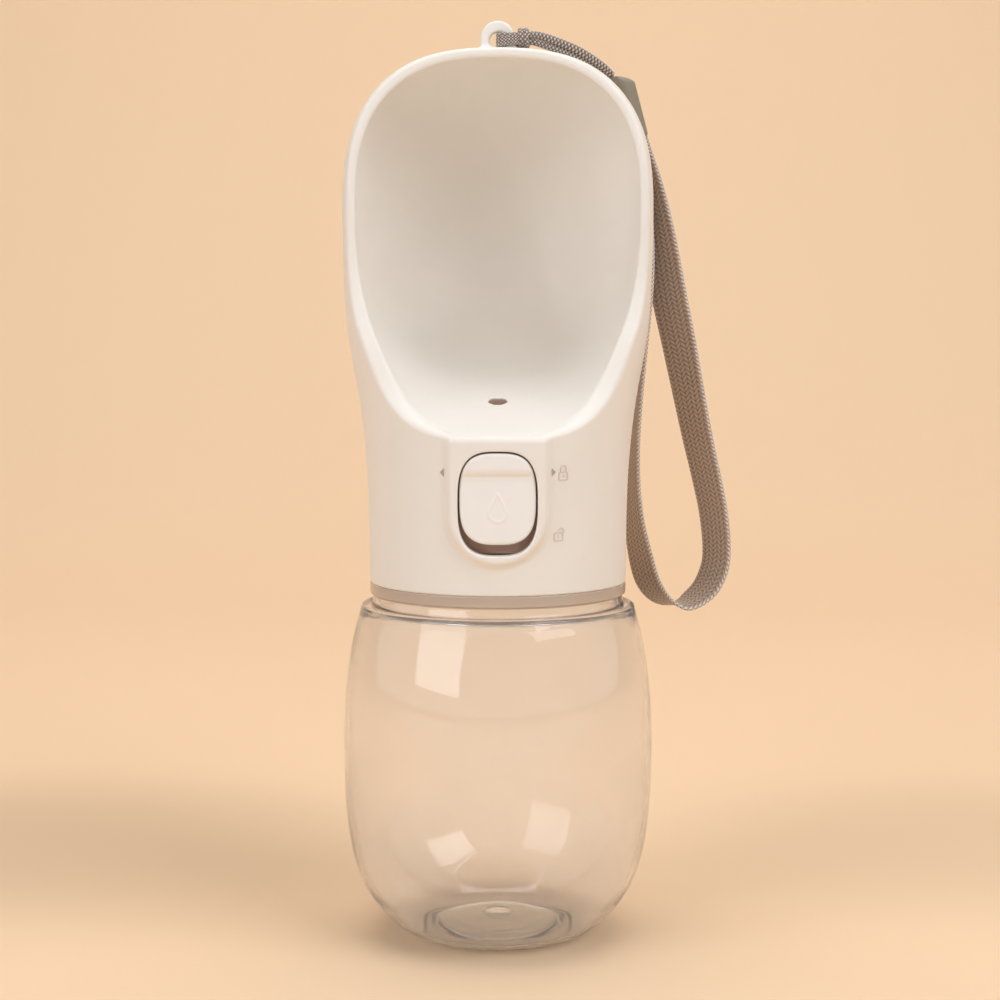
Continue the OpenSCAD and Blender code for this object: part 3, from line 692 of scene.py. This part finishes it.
def head_f(x, y, z):
    rho = np.hypot(x, y)
    # the crest leans down a little towards its front edge
    zl = z + 0.75 * np.clip((2 - y) / 8, 0, 1) * ease((z - 182) / 22)
    outer = revolve_d(rho, zl, 0.0)
    inner = revolve_d(rho, zl, WALL)
    # raised pad round the button
    d2 = np.where(z < 103.9, np.hypot(x, z - 103.9), np.abs(x)) - 11.4
    front = np.hypot(x, y - 12.5) - 45.0
    pad = rmax(rmax(d2, front, 1.1), y + 20, 0.1)
    outer = rmin(outer, pad, 1.6)
    bowl = smax(inner, floor_d(x, y, z, 0.0), 0.6 + 6.4 * ease((y + 24) / 8))
    below = smax(inner, -floor_d(x, y, z, 0.0) + WALL, 2.0)
    body = np.maximum(np.maximum(outer, -bowl), -below)
    # spigot under the drain hole
    rd = np.hypot(x - DRAIN[0], y - DRAIN[1])
    body = np.minimum(body, np.maximum(np.maximum(rd - 3.5, 112 - z), z - 126.5))
    body = rmax(body, -np.maximum(np.maximum(rd - 2.15, 105 - z), z - 140), 0.3)
    body = rmax(body, rim_d(y, z), 0.9 + 0.8 * ease((-27.5 - y) / 2.5) * ease((13 - np.abs(x)) / 3))
    # eye on the crest: an upright arch
    arch = np.hypot(x, np.maximum(z - 214.1, 0)) - 4.05
    hole = 1.95 - np.hypot(x, z - 213.5)
    q1, q2 = np.maximum(arch, hole) + 0.7, np.abs(y - EYE_C[1]) - 0.8
    eye = np.hypot(np.maximum(q1, 0), np.maximum(q2, 0)) + np.minimum(np.maximum(q1, q2), 0) - 0.7
    body = rmin(body, np.maximum(eye, 209.5 - z), 1.3)
    # button slot
    body = rmax(body, -np.maximum(slot_d(x, z, *SLOT), y + 22), 0.5)
    return rmax(body, 85.45 - z, 0.35)


def axis(*parts):
    out = [parts[0][0]]
    for a, b, s in parts:
        n = max(1, int(round((b - a) / s)))
        out.extend(list(a + (b - a) * (np.arange(1, n + 1) / n)))
    return np.array(out)


def surface_nets(xs, ys, zs, f):
    ins = f < 0
    nx, ny, nz = f.shape
    acc = np.zeros((nx - 1, ny - 1, nz - 1, 3))
    cnt = np.zeros((nx - 1, ny - 1, nz - 1))
    X, Y, Z = np.meshgrid(xs, ys, zs, indexing="ij")

    def cross(sa, sb):
        fa, fb = f[sa], f[sb]
        m = (fa < 0) != (fb < 0)
        t = np.where(m, fa / np.where(m, fa - fb, 1), 0)
        px = X[sa] + (X[sb] - X[sa]) * t
        py = Y[sa] + (Y[sb] - Y[sa]) * t
        pz = Z[sa] + (Z[sb] - Z[sa]) * t
        return m, np.stack([px, py, pz], -1) * m[..., None]

    def sl(i, lo):
        return slice(0, -1) if lo else slice(1, None)

    for ax in range(3):
        for u in (0, 1):
            for v in (0, 1):
                a, b = [None] * 3, [None] * 3
                o = [k for k in range(3) if k != ax]
                a[ax], b[ax] = slice(0, -1), slice(1, None)
                a[o[0]] = b[o[0]] = slice(0, -1) if u == 0 else slice(1, None)
                a[o[1]] = b[o[1]] = slice(0, -1) if v == 0 else slice(1, None)
                m, p = cross(tuple(a), tuple(b))
                acc += p
                cnt += m
    act = cnt > 0
    idx = -np.ones(act.shape, dtype=np.int64)
    idx[act] = np.arange(act.sum())
    verts = acc[act] / cnt[act][:, None]
    quads = []
    for ax in range(3):
        o = [k for k in range(3) if k != ax]
        a, b = [slice(None)] * 3, [slice(None)] * 3
        a[ax], b[ax] = slice(0, -1), slice(1, None)
        for k in o:
            a[k] = b[k] = slice(1, -1)
        ia, ib = ins[tuple(a)], ins[tuple(b)]
        m = ia != ib

        def cell(du, dv):
            s = [None] * 3
            s[ax] = slice(0, None)
            s[o[0]] = slice(0, -1) if du else slice(1, None)
            s[o[1]] = slice(0, -1) if dv else slice(1, None)
            return idx[tuple(s)][m]

        q = np.stack([cell(1, 1), cell(0, 1), cell(0, 0), cell(1, 0)], 1)
        flip = ia[m] if ax != 1 else ~ia[m]
        q[~flip] = q[~flip][:, ::-1]
        quads.append(q)
    return verts, np.concatenate(quads)


def grad(fn, p, e=0.02):
    g = np.zeros_like(p)
    for k in range(3):
        a, b = p.copy(), p.copy()
        a[:, k] += e
        b[:, k] -= e
        g[:, k] = (fn(*a.T) - fn(*b.T)) / (2 * e)
    return g


def settle(fn, verts, quads, rounds=4, relax=1):
    """Moves vertices onto the surface, evens them out along it, and returns their normals."""
    v = verts
    for _ in range(rounds):
        g = grad(fn, v)
        d = fn(*v.T)
        s = -(d / np.maximum((g * g).sum(1), 0.25))[:, None] * g
        n = np.linalg.norm(s, axis=1, keepdims=True)
        v = v + s * np.minimum(1, 0.35 / np.maximum(n, 1e-9))
    for _ in range(relax):
        acc, cnt = np.zeros_like(v), np.zeros(len(v))
        for a, b in ((0, 1), (1, 2), (2, 3), (3, 0)):
            np.add.at(acc, quads[:, a], v[quads[:, b]])
            np.add.at(acc, quads[:, b], v[quads[:, a]])
            np.add.at(cnt, quads[:, a], 1)
            np.add.at(cnt, quads[:, b], 1)
        g = grad(fn, v)
        n = g / np.maximum(np.linalg.norm(g, axis=1, keepdims=True), 1e-9)
        m = (acc / cnt[:, None] - v) * 0.5
        v = v + m - n * (m * n).sum(1, keepdims=True)
        g = grad(fn, v)
        d = fn(*v.T)
        v = v - (d / np.maximum((g * g).sum(1), 0.25))[:, None] * g
    g = grad(fn, v)
    return v, g / np.maximum(np.linalg.norm(g, axis=1, keepdims=True), 1e-9)


def implicit_piece(name, fn, xs, ys, zs, grid_f, relax=2):
    verts, quads = surface_nets(xs, ys, zs, grid_f)
    verts, normals = settle(fn, verts, quads, 4, relax)
    obj = new_mesh(name, verts, quads)
    obj.data.normals_split_custom_set_from_vertices([tuple(n) for n in normals])
    return obj


def build_head():
    c = 0.8
    fine = 0.34
    xs = axis((-38.5, -12.6, c), (-12.6, 12.6, fine), (12.6, 38.5, c))
    ys = axis((-34.2, -27.0, fine), (-27.0, -9.6, c), (-9.6, -2.4, 0.4), (-2.4, 38.2, c))
    zs = axis((84.6, 86.4, 0.3), (86.4, 91.5, 0.7), (91.5, 123.5, fine), (123.5, 130.5, 0.5), (130.5, 209.0, c), (209.0, 220.0, 0.4))
    X, Y, Z = np.meshgrid(xs, ys, zs, indexing="ij")
    f = head_f(X, Y, Z)
    obj = implicit_piece("head_shell", head_f, xs, ys, zs, f)
    obj.data.materials.append(M_WHITE)
    obj.data.materials.append(M_BORE_SHADE)
    c = np.zeros(len(obj.data.polygons) * 3)
    obj.data.polygons.foreach_get("center", c)
    c = c.reshape(-1, 3) / MM
    # faces inside the drain hole take the painted shade
    bore = (np.hypot(c[:, 0] - DRAIN[0], c[:, 1] - DRAIN[1]) < 2.3) & (c[:, 2] < 129.3)
    obj.data.polygons.foreach_set("material_index", bore.astype(np.int32))
    return obj


def front_y(x, z):
    """Where the head's outside is, seen from the front."""
    x, z = np.asarray(x, float), np.asarray(z, float)
    a, b = np.full(x.shape, -34.5), np.full(x.shape, -24.0)
    for q in np.linspace(-34.5, -24.0, 60):
        b = np.where((b == -24.0) & (head_f(x, np.full(x.shape, q), z) < 0), q, b)
    a = b - 0.4
    for _ in range(14):
        m = (a + b) / 2
        inside = head_f(x, m, z) < 0
        a, b = np.where(inside, a, m), np.where(inside, m, b)
    return b


def build_marks():
    """Low relief beside the pad: two pointers and a shut and an open padlock, coloured darker as painted shade along
    the relief.
    """
    verts, faces, mats = [], [], []

    def strip(line, w, up, mat, closed=False):
        p = np.array(line, float)
        t = np.roll(p, -1, 0) - np.roll(p, 1, 0) if closed else np.gradient(p, axis=0)
        t /= np.linalg.norm(t, axis=1, keepdims=True)
        nrm = np.stack([-t[:, 1], t[:, 0]], 1)
        rows = []
        for off, lift in ((-0.5, -0.15), (-0.3, up), (0.3, up), (0.5, -0.15)):
            q = p + nrm * off * w
            rows.append(np.stack([q[:, 0], front_y(q[:, 0], q[:, 1]) - lift, q[:, 1]], 1))
        base = len(verts)
        n = len(p)
        for r in rows:
            verts.extend(r.tolist())
        for i in range(n if closed else n - 1):
            j = (i + 1) % n
            for k in range(4):
                l = (k + 1) % 4
                faces.append([base + k * n + i, base + l * n + i, base + l * n + j, base + k * n + j])
                mats.append(mat)
        if not closed:
            for i, flip in ((0, False), (n - 1, True)):
                f = [base + k * n + i for k in range(4)]
                faces.append(f if flip else f[::-1])
                mats.append(mat)

    def block(outline, up, mat):
        p = np.array(outline, float)
        c = p.mean(0)
        n, base = len(p), len(verts)
        for scale, lift in ((1.0, -0.15), (0.7, up)):
            q = c + (p - c) * scale
            verts.extend(np.stack([q[:, 0], front_y(q[:, 0], q[:, 1]) - lift, q[:, 1]], 1).tolist())
        for i in range(n):
            j = (i + 1) % n
            faces.append([base + i, base + j, base + n + j, base + n + i])
            mats.append(mat)
        faces.append([base + i for i in range(n)][::-1])
        faces.append([base + n + i for i in range(n)])
        mats.extend([mat, mat])

    def arc(cx, cz, r, a0, a1, n=10):
        return [(cx + r * math.cos(math.radians(a0 + (a1 - a0) * k / n)), cz + r * math.sin(math.radians(a0 + (a1 - a0) * k / n))) for k in range(n + 1)]

    block([(-12.1, 114.6), (-13.15, 113.5), (-12.1, 112.3)], 0.22, 1)
    block([(12.2, 112.4), (12.2, 114.6), (13.2, 113.5)], 0.22, 1)
    for cx, cz, shut in ((14.9, 112.55, True), (13.8, 98.75, False)):
        w, h, r = 0.96, 0.92, 0.3
        body = []
        for x0, z0, a0 in ((w - r, h - r, 0), (-w + r, h - r, 90), (-w + r, -h + r, 180), (w - r, -h + r, 270)):
            body += arc(cx + x0, cz + z0, r, a0, a0 + 90, 4)
        strip(body, 0.3, 0.2, 2, True)
        strip([(cx, cz + 0.25), (cx, cz - 0.25)], 0.26, 0.2, 2)
        side = 0.0 if shut else 0.6
        top = cz + h + (0.9 if shut else 0.4)
        leg = [(cx + side + 0.62, cz + h - 0.05), (cx + side + 0.62, top - 0.1)] + arc(cx + side, top, 0.62, 0, 180, 10)
        strip(leg + ([(cx + side - 0.62, top - 0.1), (cx + side - 0.62, cz + h - 0.05)] if shut else []), 0.3, 0.2, 2)
    obj = new_mesh("head_marks", verts, faces, smooth=False)
    bm = bmesh.new()
    bm.from_mesh(obj.data)
    bmesh.ops.recalc_face_normals(bm, faces=bm.faces)
    bm.to_mesh(obj.data)
    bm.free()
    obj.data.materials.append(M_WHITE)
    obj.data.materials.append(M_MARK_SHADE)
    obj.data.materials.append(M_LOCK_SHADE)
    obj.data.polygons.foreach_set("material_index", mats)
    return obj


head_shell = build_head()
head_marks = build_marks()
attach(head_marks, "head")
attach(head_shell, "head")
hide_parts("housing")

# ---------------------------------------------------------------- bottle
def lathe(name, prof, seg, material_, closed=True):
    prof = np.asarray(prof, float)
    n = len(prof)
    verts, faces = [], []
    ring_of = []
    for r, z in prof:
        if r < 1e-6:
            ring_of.append([len(verts)])
            verts.append((0, 0, z))
        else:
            base = len(verts)
            for k in range(seg):
                a = 2 * math.pi * k / seg
                verts.append((r * math.cos(a), r * math.sin(a), z))
            ring_of.append(list(range(base, base + seg)))
    pairs = list(zip(range(n - 1), range(1, n))) + ([(n - 1, 0)] if closed and prof[0][0] > 1e-6 else [])
    for i, j in pairs:
        A, B = ring_of[i], ring_of[j]
        if len(A) == 1 and len(B) == 1:
            continue
        for k in range(seg):
            l = (k + 1) % seg
            if len(A) == 1:
                faces.append((A[0], B[l], B[k]))
            elif len(B) == 1:
                faces.append((A[k], A[l], B[0]))
            else:
                faces.append((A[k], A[l], B[l], B[k]))
    obj = new_mesh(name, verts, faces)
    obj.data.materials.append(material_)
    return obj


def rounded(points, radii, m=5):
    """A polyline with its corners rounded by the given radii."""
    p = np.array(points, float)
    out = [p[0]]
    for i in range(1, len(p) - 1):
        r = radii[i]
        a, b, c = p[i - 1], p[i], p[i + 1]
        u, v = a - b, c - b
        lu, lv = np.linalg.norm(u), np.linalg.norm(v)
        if r <= 0:
            out.append(b)
            continue
        t = min(r, lu * 0.48, lv * 0.48)
        s, e = b + u / lu * t, b + v / lv * t
        for k in range(m + 1):
            w = k / m
            out.append((1 - w) ** 2 * s + 2 * w * (1 - w) * b + w * w * e)
    out.append(p[-1])
    return np.array(out)


BODY = [(16.2, 0.22), (17.1, 0.02), (18.6, 0.0), (20.4, 0.25), (23.2, 1.45), (26.4, 3.9), (29.9, 7.8), (32.9, 13),
        (35.3, 20.5), (36.75, 31), (37.18, 42), (37.18, 50), (36.6, 60), (35.2, 70), (33.7, 76.4), (33.0, 78.9)]
BODY_IN = [(15.9, 1.3), (18.2, 1.25), (20.6, 1.55), (23.0, 2.75), (25.8, 5.0), (29.0, 8.8), (31.8, 13.6),
           (34.1, 21), (35.55, 31), (35.95, 42), (35.95, 50), (35.4, 60), (34.0, 70), (32.5, 76.2), (31.6, 78.3)]


def build_bottle():
    outer = catmull(BODY, 6)
    top = rounded([(33.0, 78.9), (32.75, 79.95), (31.3, 80.25), (30.3, 79.85), (29.9, 82.75), (30.75, 82.75), (30.75, 85.38), (24.4, 85.4),
                   (24.4, 91.2), (22.6, 91.2), (22.6, 84.6), (24, 83.5), (28.2, 83.1), (28.6, 79.6), (31.2, 78.9), (31.6, 78.3)],
                  [0, 0.5, 0.5, 0.4, 0.5, 0.35, 0.35, 0.4, 0.5, 0.5, 0.8, 0.8, 1.2, 1.2, 0.9, 0])
    inner = catmull(BODY_IN, 6)[::-1]
    push_in = rounded([(15.9, 1.3), (15.2, 1.42), (14.4, 2.1), (12.4, 2.9), (8, 3.6), (3.4, 3.9), (2.6, 4.8), (0, 4.95)],
                      [0, 0.2, 0.8, 1.6, 2.5, 0.25, 0.3, 0])
    push_out = rounded([(0, 2.9), (2.4, 2.85), (3.3, 2.5), (8.0, 2.3), (12.5, 1.7), (14.9, 0.85), (16.2, 0.22)],
                       [0, 0.4, 0.5, 3.0, 2.0, 1.2, 0])
    prof = np.vstack([push_out[:-1], outer[:-1], top[:-1], inner[:-1], push_in])
    prof[:, 1] = np.maximum(prof[:, 1], 0.0)
    obj = lathe("bottle_body", prof, 176, M_CLEAR, closed=False)
    obj.data.materials.append(M_RING_PAINTED_LIGHT)
    c = np.zeros(len(obj.data.polygons) * 3)
    obj.data.polygons.foreach_get("center", c)
    c = c.reshape(-1, 3) / MM
    # the support ring's faces take the painted light
    ring_painted_light_faces = (c[:, 2] > 82.3) & (np.hypot(c[:, 0], c[:, 1]) > 22)
    obj.data.polygons.foreach_set("material_index", ring_painted_light_faces.astype(np.int32))
    return obj


bottle_body = build_bottle()
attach(bottle_body, "bottle")
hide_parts("bottle")

# ---------------------------------------------------------------- button
def build_button():
    w, h, zc, p = 17.3, 20.7, 107.6, 3.0
    seg, rings = 200, 58
    edge = 0.55
    verts, faces = [], []

    def front(x, z):
        y = 17.0 - math.sqrt(48.6**2 - x * x)
        # thumb ridge: square below, rounding off upwards, fading out at its ends
        t = min(max((z - 112.7) / 2.1, 0), 1)
        s = 1 - (1 - t) ** 2.3
        if t < 0.12:
            s *= t / 0.12 * (2 - t / 0.12)
        e = min(max((8.3 - abs(x)) / 2.6, 0), 1)
        y -= 1.0 * s * (0.35 + 0.65 * e * e * (3 - 2 * e))
        y += 0.2 * math.exp(-(((z - 111.6) / 1.8) ** 2)) * (1 - s)
        # drop-shaped raised mark
        dz = z - 104.4
        rr = 2.0 if dz < 0 else 2.0 * (1 - (dz / 4.4) ** 1.25) if dz < 4.4 else 0
        dist = math.hypot(x, dz) - 2.0 if dz < 0 else (abs(x) - rr) * 0.85
        if dz > 4.4:
            dist = math.hypot(x, dz - 4.4)
        y -= 0.16 * math.exp(-((abs(dist) / 0.3) ** 2))
        return y

    def point(s, k):
        a = 2 * math.pi * k / seg
        c, sn = math.cos(a), math.sin(a)
        return (w / 2 * s * math.copysign(abs(c) ** (2 / p), c), zc + h / 2 * s * math.copysign(abs(sn) ** (2 / p), sn))

    verts.append((0, front(0, zc), zc))
    for i in range(1, rings + 1):
        s = i / rings
        for k in range(seg):
            x, z = point(s, k)
            d = (1 - s) * min(w, h) / 2
            y = front(x, z)
            if d < edge:
                q = 1 - d / edge
                y += edge * (1 - math.sqrt(max(0, 1 - q * q)))
            verts.append((x, y, z))
    last = 1 + (rings - 1) * seg
    backs = [-29.6, -28.72]
    for b in backs:
        base = len(verts)
        for k in range(seg):
            x, z = point(1.0, k)
            verts.append((x, b, z))
    base = len(verts)
    for k in range(seg):
        x, z = point(0.86, k)
        verts.append((x, -28.72, z))
    verts.append((0, -28.72, zc))
    for k in range(seg):
        l = (k + 1) % seg
        faces.append((0, 1 + k, 1 + l))
        for i in range(rings - 1 + len(backs) + 1):
            a, b = 1 + i * seg, 1 + (i + 1) * seg
            faces.append((a + k, b + k, b + l, a + l))
        faces.append((base + k, len(verts) - 1, base + l))
    obj = new_mesh("button_cap", verts, faces)
    # carrier and the two hooks that slide in the slider's slots
    bm = bmesh.new()
    bm.from_mesh(obj.data)
    boxes = [((-7.2, -28.95, 101.6), (7.2, -25.95, 114.8))]
    for sx in (-4.5, 4.5):
        boxes += [((sx - 1.05, -26.2, 103.4), (sx + 1.05, -22.2, 110.6)), ((sx - 1.75, -23.3, 103.4), (sx + 1.75, -21.9, 110.6))]
    for lo, hi in boxes:
        lo, hi = Vector(lo) * MM, Vector(hi) * MM
        made = bmesh.ops.create_cube(bm, size=1.0)["verts"]
        for v in made:
            v.co = Vector([(lo[k] + hi[k]) / 2 + v.co[k] * (hi[k] - lo[k]) for k in range(3)])
        edges = {e for v in made for e in v.link_edges}
        bmesh.ops.bevel(bm, geom=list(edges), offset=0.0003, segments=2, affect="EDGES", profile=0.6)
    bm.to_mesh(obj.data)
    bm.free()
    return obj


button_cap = build_button()
button_cap.data.materials.append(M_BUTTON)
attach(button_cap, "push_button")
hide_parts("button")

# ---------------------------------------------------------------- floor, light
def stage():
    prof = [(-3.0, 0.0), (0.55, 0.0)]
    R = 0.5
    for k in range(1, 25):
        a = math.radians(90 * k / 24)
        prof.append((0.55 + R * math.sin(a), R * (1 - math.cos(a))))
    prof.append((1.05, 4.0))
    verts, faces = [], []
    for y, z in prof:
        verts += [(-3, y, z), (3, y, z)]
    for i in range(len(prof) - 1):
        faces.append((2 * i, 2 * i + 1, 2 * i + 3, 2 * i + 2))
    me = bpy.data.meshes.new("backdrop")
    me.from_pydata(verts, [], faces)
    me.polygons.foreach_set("use_smooth", [True] * len(me.polygons))
    ob = bpy.data.objects.new("backdrop", me)
    scene.collection.objects.link(ob)
    mat, nt, bsdf = material("backdrop_paper")
    bsdf.inputs["Roughness"].default_value = 0.85
    # two wide soft painted shadows on the floor, behind the bottle to its left and right, darkening the paper's colour
    # where the bottle's shadows fall
    tc = nt.nodes.new("ShaderNodeTexCoord")
    paper = None
    for cx, cy, rx, ry, depth in ((-0.14, 0.075, 0.13, 0.085, 0.2), (0.15, 0.08, 0.12, 0.08, 0.13)):
        mp = nt.nodes.new("ShaderNodeMapping")
        mp.inputs["Location"].default_value = (-cx / rx, -cy / ry, 0)
        mp.inputs["Scale"].default_value = (1 / rx, 1 / ry, 1.0)
        nt.links.new(tc.outputs["Object"], mp.inputs["Vector"])
        ln = nt.nodes.new("ShaderNodeVectorMath")
        ln.operation = "LENGTH"
        nt.links.new(mp.outputs["Vector"], ln.inputs[0])
        mr = nt.nodes.new("ShaderNodeMapRange")
        mr.interpolation_type = "SMOOTHERSTEP"
        mr.inputs["From Min"].default_value = 0.1
        mr.inputs["From Max"].default_value = 1.5
        mr.inputs["To Min"].default_value = 1 - depth
        mr.inputs["To Max"].default_value = 1.0
        nt.links.new(ln.outputs["Value"], mr.inputs["Value"])
        mx = nt.nodes.new("ShaderNodeMix")
        mx.data_type = "RGBA"
        mx.blend_type = "MULTIPLY"
        mx.inputs[0].default_value = 1.0
        nt.links.new(mr.outputs["Result"], mx.inputs[7])
        if paper is None:
            mx.inputs[6].default_value = rgb(242, 211, 176)
        else:
            nt.links.new(paper, mx.inputs[6])
        paper = mx.outputs[2]
    # the paper turns paler towards the front
    sep = nt.nodes.new("ShaderNodeSeparateXYZ")
    nt.links.new(tc.outputs["Object"], sep.inputs[0])
    mr = nt.nodes.new("ShaderNodeMapRange")
    mr.interpolation_type = "SMOOTHERSTEP"
    mr.inputs["From Min"].default_value = -0.09
    mr.inputs["From Max"].default_value = -0.34
    mr.inputs["To Max"].default_value = 0.85
    nt.links.new(sep.outputs["Y"], mr.inputs["Value"])
    mx = nt.nodes.new("ShaderNodeMix")
    mx.data_type = "RGBA"
    nt.links.new(mr.outputs["Result"], mx.inputs[0])
    nt.links.new(paper, mx.inputs[6])
    mx.inputs[7].default_value = rgb(240, 231, 220)
    nt.links.new(mx.outputs[2], bsdf.inputs["Base Color"])
    bump(nt, bsdf, noise(nt, 500.0, 2.0, 0.5), 0.05, 0.0002)
    me.materials.append(mat)
    return ob


stage()


def area(name, loc, target, size, power, colour=(1, 1, 1), size_y=None):
    d = bpy.data.lights.new(name, "AREA")
    d.energy = power
    d.color = colour
    d.size = size
    if size_y:
        d.shape = "RECTANGLE"
        d.size_y = size_y
    o = bpy.data.objects.new(name, d)
    o.location = loc
    v = Vector(target) - Vector(loc)
    o.rotation_euler = v.to_track_quat("-Z", "Y").to_euler()
    scene.collection.objects.link(o)
    return o


area("box_left", (-0.80, -0.76, 0.52), (0, 0, 0.12), 0.79, 4.5, (0.95, 0.99, 1.055), 0.80)
area("box_right", (0.86, -0.70, 0.88), (0, 0, 0.12), 0.90, 7.2, (0.95, 0.99, 1.055), 0.68)
top = area("top", (0.0, -0.05, 1.35), (0, 0.0, 0), 1.0, 2.9, (1.0, 0.975, 0.94))
top.visible_glossy = False
area("back_wash", (0.0, 0.15, 1.5), (0, 1.0, 0.35), 1.2, 10.0, (0.97, 1.0, 1.03))
world = bpy.data.worlds.new("world")
scene.world = world
world.use_nodes = True
wn = world.node_tree
bg = wn.nodes["Background"]
lp = wn.nodes.new("ShaderNodeLightPath")
wm = wn.nodes.new("ShaderNodeMapRange")
wm.inputs["To Min"].default_value = 0.2
wm.inputs["To Max"].default_value = 0.75
wn.links.new(lp.outputs["Is Glossy Ray"], wm.inputs["Value"])
wn.links.new(wm.outputs["Result"], bg.inputs["Strength"])
wc = wn.nodes.new("ShaderNodeMix")
wc.data_type = "RGBA"
wc.inputs[6].default_value = (1.0, 0.94, 0.86, 1)
wc.inputs[7].default_value = (0.97, 0.99, 1.0, 1)
wn.links.new(lp.outputs["Is Glossy Ray"], wc.inputs[0])
wn.links.new(wc.outputs[2], bg.inputs["Color"])
# past the edge of the paper the room has the paper's own tone
far = wn.nodes.new("ShaderNodeBackground")
far.inputs["Color"].default_value = rgb(240, 210, 176)
seen = wn.nodes.new("ShaderNodeMixShader")
wn.links.new(lp.outputs["Is Camera Ray"], seen.inputs[0])
wn.links.new(bg.outputs["Background"], seen.inputs[1])
wn.links.new(far.outputs["Background"], seen.inputs[2])
wn.links.new(seen.outputs[0], wn.nodes["World Output"].inputs["Surface"])


# ---------------------------------------------------------------- valve spring
def build_spring():
    """Wire coil with tighter end turns, between the gland and the stem's flange."""
    turns, per, sides, wire = 5, 40, 14, 0.35
    n = turns * per
    f = np.arange(n + 1) / n
    a = f * turns * 2 * np.pi
    z = 102.05 + 7.95 * (f - 0.06 * np.sin(2 * np.pi * f))
    b = np.arange(sides) * 2 * np.pi / sides
    r = 3.6 + wire * np.cos(b)
    v = np.stack([r * np.cos(a)[:, None], 9 + r * np.sin(a)[:, None], z[:, None] + wire * np.sin(b)], -1).reshape(-1, 3)
    faces = []
    for i in range(n):
        for j in range(sides):
            k = (j + 1) % sides
            faces.append([i * sides + j, i * sides + k, (i + 1) * sides + k, (i + 1) * sides + j])
    faces += [list(range(sides))[::-1], [n * sides + j for j in range(sides)]]
    obj = new_mesh("spring_coil", v, faces)
    obj.data.materials.append(M_STEEL)
    bm = bmesh.new()
    bm.from_mesh(obj.data)
    bmesh.ops.recalc_face_normals(bm, faces=bm.faces)
    bm.to_mesh(obj.data)
    bm.free()
    return obj


spring = build_spring()
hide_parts("valve_spring")
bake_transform(spring)

for n, m in {
    "mouth_gasket": M_SILICONE, "inner_cap": M_INNER, "valve_chamber": M_INNER, "outlet_seal": M_SILICONE, "stem_seal": M_RUBBER,
    "gland_cap": M_INNER, "valve_stem": M_INNER, "valve_plug": M_SILICONE, "plug_clip": M_STEEL,
    "cross_pin": M_STEEL, "push_slider": M_SLIDER_PAINTED_SHADE, "slider_guide": M_INNER, "guide_screws": M_STEEL, "button": M_BUTTON,
    "lanyard_clip": M_CLIP, "lanyard_cord": M_CORD, "cord_knot": M_CORD, "lanyard_webbing": M_WEB,
}.items():
    o = frame["nodes"][n]
    o = bpy.data.objects[n] if isinstance(o, str) else o
    o.data.materials.clear()
    o.data.materials.append(m)
